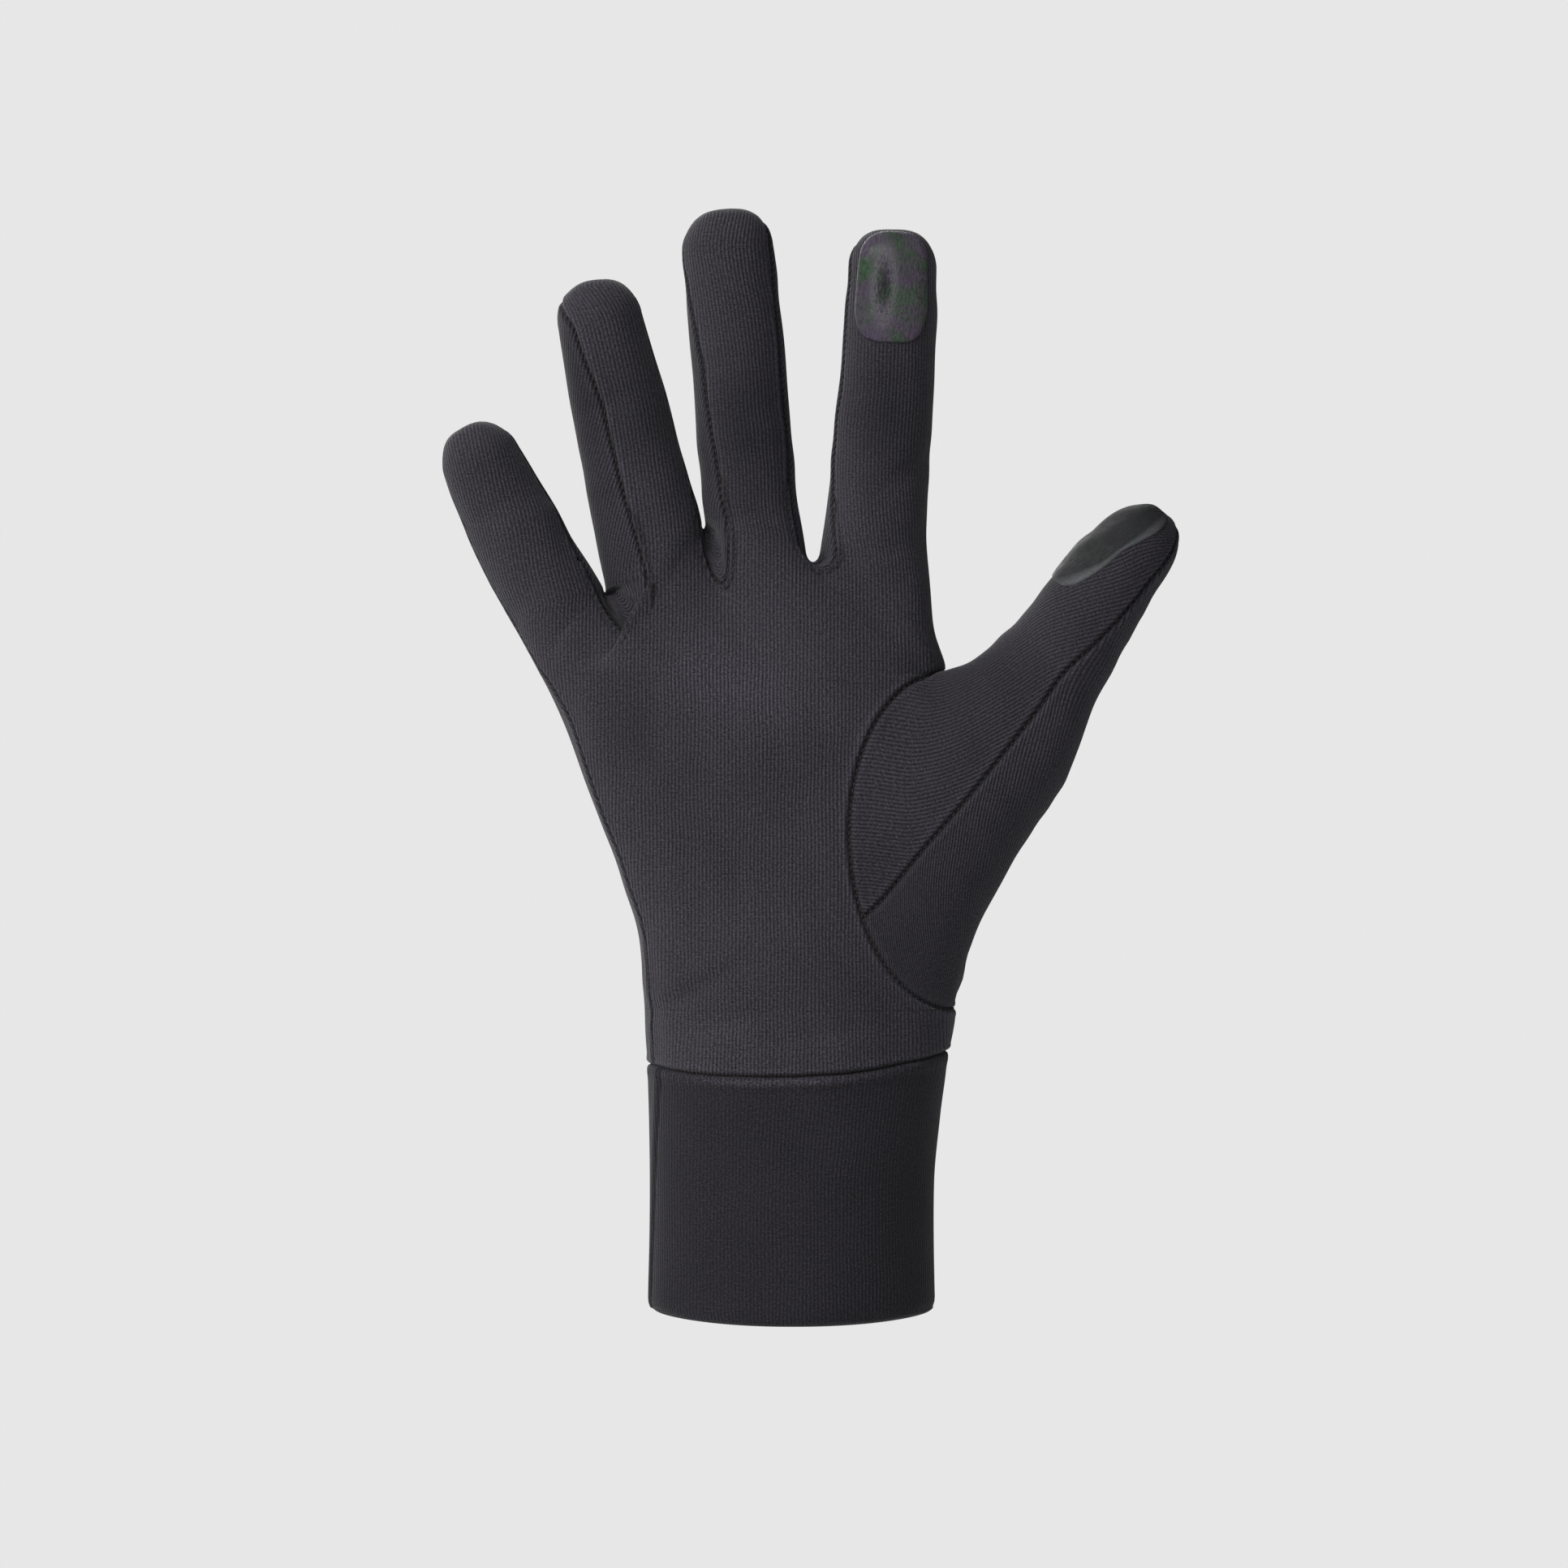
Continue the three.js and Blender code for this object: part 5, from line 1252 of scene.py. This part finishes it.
def cuffPiece():
    angle = np.linspace(-180, 180, cuff["around"] + 1)[None, :-1] - 90.0
    fromFront = (angle + 180) % 360 - 180
    radius, span = cuff["hemRadius"], hand["cuffHeight"]
    # the wall's profile: down the outside, round the hem, up the inside, as (height above the hem, inset)
    down = 1 - np.linspace(0, 1, cuff["outerRows"]) ** cuff["outerEase"]
    turn = np.linspace(0, np.pi, cuff["hemSteps"])[1:-1]
    height = np.concatenate([radius + (span - radius) * down, radius - radius * np.sin(turn),
                             radius + (span - radius) * np.linspace(0, 1, cuff["innerRows"])])
    inset = np.concatenate([0 * down, cuff["wall"] / 2 * (1 - np.cos(turn)), np.full(cuff["innerRows"], cuff["wall"])])
    at = (height / span)[:, None]
    outer = cuffPoint(angle, at, inset[:, None])
    middle = np.array([hand["wristShift"], 0, 0])
    away = unit((outer - middle) * np.array([1 / cuff["width"] ** 2, 1 / cuff["depth"] ** 2, 0]))
    fromTop = span * (1 - at)
    isOuter = (np.arange(len(height)) < cuff["outerRows"])[:, None]
    # the edge rolled in at the wrist seam with a gathered lip below it, the closing seam and its lap, and the hem
    roll = -cuff["rollDepth"] * bell(fromTop, cuff["rollWidth"])
    bulge = cuff["bulge"] * np.abs(cosine(angle))
    bulge = bulge + cuff["gather"] * np.sin(np.radians(angle) * cuff["gathers"])
    bulge = bulge * bell(fromTop - cuff["bulgeAt"], cuff["bulgeWidth"])
    fromSeam = (fromFront - cuffSeam(at)) * cuff["sidePitch"]
    seam = cuff["lap"] * bell(fromSeam - cuff["lapAt"], cuff["lapWidth"])
    seam = seam - cuff["seamDepth"] * bell(fromSeam, cuff["seamWidth"])
    draw = -cuff["hemDraw"] * np.maximum(1 - height / cuff["hemReach"], 0)[:, None] ** 2
    x, z = outer[..., 0], outer[..., 2]
    soft = 0.22 * np.sin(x * 0.17 + 0.9 * np.sin(z * 0.07)) * np.sin(z * 0.075 + 0.6)
    soft = soft + 0.12 * np.sin(x * 0.33 + z * 0.11)
    points = outer + away * (np.where(isOuter, roll + bulge + seam + soft, 0) + draw)[..., None]
    ids = np.arange(points.size // 3).reshape(points.shape[:2])
    ids = np.concatenate([ids, ids[:, :1]], axis=1)
    faces = gridQuads(np.concatenate([ids, ids[:1]]), True).tolist()
    arc = runLength(outer[cuff["outerRows"] // 2][:, :2])
    grainAt = np.stack(np.broadcast_arrays(arc[None, :], -runLength(outer[:, 0])[:, None]), axis=-1).reshape(-1, 2)
    # painted light and shade: a painted highlight on the lip below the wrist seam, stronger towards the front left
    # where the key light falls, and painted shade in the wrist seam and the closing seam
    look = cuffPaintedLight
    front = bell(fromFront - look["frontAngle"], look["frontReach"])
    paintedTone = (look["lipFront"] * front + look["lip"]) * bell(fromTop - look["lipAt"], look["lipWidth"])
    paintedTone = paintedTone - look["wrist"] * bell(fromTop, look["seamWidth"]) - look["seam"] * bell(fromSeam, look["seamWidth"])
    paintedTone = np.where(isOuter, paintedTone, 0) + paintedShadeAt(points, away)
    return meshPiece("cuff_band", points.reshape(-1, 3), faces, grainAt, knitBand, "cuff", paintedTone.ravel())


cuffPiece()


def overEnd(share, over):
    # the angle and lift of a strip carried over a rounded end, at a share of its width and a turn over the end
    rest = np.sqrt(1 - share * share)
    lift = np.degrees(np.arcsin(np.clip(rest * np.sin(over), -1, 1)))
    return np.degrees(np.arctan2(share, rest * np.cos(over))), lift


def indexFilmSkin(across, along):
    finger, look = fingers["index"], films["index"]
    tubeEnd = finger["tube"] * finger["length"]
    place = finger["length"] + look["beyondTip"] - look["length"] / 2 + along
    half = (finger["right"](finger["tube"]) - finger["left"](finger["tube"])) / 2 * finger["width"]
    share = np.clip(across / half, -look["widest"], look["widest"])
    angle, lift = overEnd(share, np.maximum(place - tubeEnd, 0) / (finger["length"] - tubeEnd))
    onTube = place <= tubeEnd
    at = np.where(onTube, place / finger["length"], finger["tube"])
    return fingerPoint(finger, at, np.where(onTube, 0, lift), angle, 0)


def thumbFilmSkin(across, along):
    # laid on the tube's side and over the rounded end, and turned towards the palm as it rises
    look = films["thumb"]
    place = look["beyondTube"] + along / thumb["length"]
    share = np.clip(across / (thumb["depth"] / 2), -look["widest"], look["widest"])
    angle, lift = overEnd(share, np.radians(np.clip(place / look["domeReach"], 0, 1) * 90))
    angle = angle + look["angle"] + look["twist"] * along / look["length"] * 2
    return thumbPoint(1 + np.minimum(place / look["tubeReach"], 0), lift, angle)


def filmPiece(name, skin, look, material, replaced, rows=56, columns=40):
    # a square grid pulled into a rounded rectangle and laid on the cloth, thinning out round its edge
    t, s = np.meshgrid(np.linspace(-1, 1, rows + 1), np.linspace(-1, 1, columns + 1), indexing="ij")
    t, s = (np.sign(value) * (1 - (1 - np.abs(value)) ** filmEdge["ease"]) for value in (t, s))
    reach = np.maximum(np.abs(s), np.abs(t))
    power = look["corner"]
    scale = reach / np.maximum((np.abs(s) ** power + np.abs(t) ** power) ** (1 / power), 1e-6)
    across, along = s * scale * look["width"] / 2, t * scale * look["length"] / 2
    base = skin(across, along)
    quads = gridQuads(np.arange(base.size // 3).reshape(base.shape[:2]), False)
    away = pointNormals(base.reshape(-1, 3), quads).reshape(base.shape)
    fromEdge = (1 - reach) * look["width"] / 2
    rounding = np.sqrt(np.clip(1 - (1 - np.minimum(fromEdge / filmEdge["rounding"], 1)) ** 2, 0, 1))
    crease = filmEdge["crease"] * np.sin(across * 1.1 + 0.7 * np.sin(along * 0.5)) * np.sin(along * 0.45)
    cloth = relief(base, away)
    upper = base + away * (cloth + filmEdge["lift"] + (look["thick"] + crease) * rounding)[..., None]
    lower = base + away * (cloth - filmEdge["sink"])[..., None]
    count = upper.size // 3
    faces = quads.tolist()
    ids = np.arange(count).reshape(upper.shape[:2])
    ring = np.concatenate([ids[0, :-1], ids[:-1, -1], ids[-1, :0:-1], ids[:0:-1, 0]])
    nextOne = np.roll(ring, -1)
    faces += np.stack([nextOne, ring, ring + count, nextOne + count], axis=1).tolist()
    faces += (quads[:, ::-1] + count).tolist()
    points = np.concatenate([upper.reshape(-1, 3), lower.reshape(-1, 3)])
    flat = np.stack([across, along], axis=-1).reshape(-1, 2)
    return meshPiece(name, points, faces, np.concatenate([flat, flat]), material, replaced)


filmPiece("index_film", indexFilmSkin, films["index"], indexFilm, "index_touch_patch")
filmPiece("thumb_film", thumbFilmSkin, films["thumb"], shadedThumbFilm, "thumb_touch_patch")


scene = bpy.context.scene
scene.view_settings.view_transform = "Standard"
camera = bpy.data.objects.new("camera", bpy.data.cameras.new("camera"))
camera.data.lens, camera.data.sensor_width = 139, 36
camera.location = (-1.9 * mm, -1.3, 115 * mm)
camera.rotation_euler = (np.pi / 2, 0, 0)
scene.collection.objects.link(camera)
scene.camera = camera

lights = {
    "keyLight": {"kind": "AREA", "place": (-1.05, -0.95, 1.1), "energy": 25, "size": 0.9},
    "fillLight": {"kind": "AREA", "place": (0.3, -1.7, 0.3), "energy": 2.5, "size": 1.0},
    "backLight": {"kind": "AREA", "place": (-0.5, 1.4, 0.8), "energy": 24, "size": 1.5},
    "palmSpot": {"kind": "SPOT", "place": (-0.35, -0.9, 0.75), "aim": (-0.012, -0.012, 0.137), "energy": 44,
                 "spot_blend": 1.0, "spot_size": np.radians(7.5), "shadow_soft_size": 0.12},
}
for name, look in lights.items():
    lamp = bpy.data.lights.new(name, look["kind"])
    for key, value in look.items():
        if key not in ("kind", "place", "aim"):
            setattr(lamp, key, value)
    holder = bpy.data.objects.new(name, lamp)
    holder.location = look["place"]
    toward = mathutils.Vector(look.get("aim", (0, 0, 0.12))) - mathutils.Vector(look["place"])
    holder.rotation_euler = toward.to_track_quat("-Z", "Y").to_euler()
    scene.collection.objects.link(holder)

# the world is seen at full strength and lights the glove much less
backdrop = {"grey": 0.799, "lighting": 0.12}
world = bpy.data.worlds.new("studio")
world.use_nodes = True
scene.world = world
tree = world.node_tree
ground = tree.nodes["Background"]
ground.inputs["Color"].default_value = (backdrop["grey"], backdrop["grey"], backdrop["grey"], 1)
seen = node(tree, "ShaderNodeLightPath").outputs["Is Camera Ray"]
strength = maths(tree, "MULTIPLY_ADD", seen, 1 - backdrop["lighting"], backdrop["lighting"])
link(tree, strength, ground.inputs["Strength"])

floor = {"radius": 2.2, "height": -0.35, "corners": 96}


def floorDisc():
    turn = np.linspace(0, 2 * np.pi, floor["corners"] + 1)[:-1]
    level = np.full(floor["corners"], floor["height"])
    points = np.stack([floor["radius"] * np.cos(turn), floor["radius"] * np.sin(turn), level], axis=-1)
    mesh = bpy.data.meshes.new("floor")
    mesh.from_pydata(points.tolist(), [], [list(range(floor["corners"]))])
    mesh.materials.append(makeMaterial("paleFloor", {"Base Color": (0.8, 0.8, 0.8, 1), "Roughness": 0.9})[0])
    disc = bpy.data.objects.new("floor", mesh)
    scene.collection.objects.link(disc)


floorDisc()
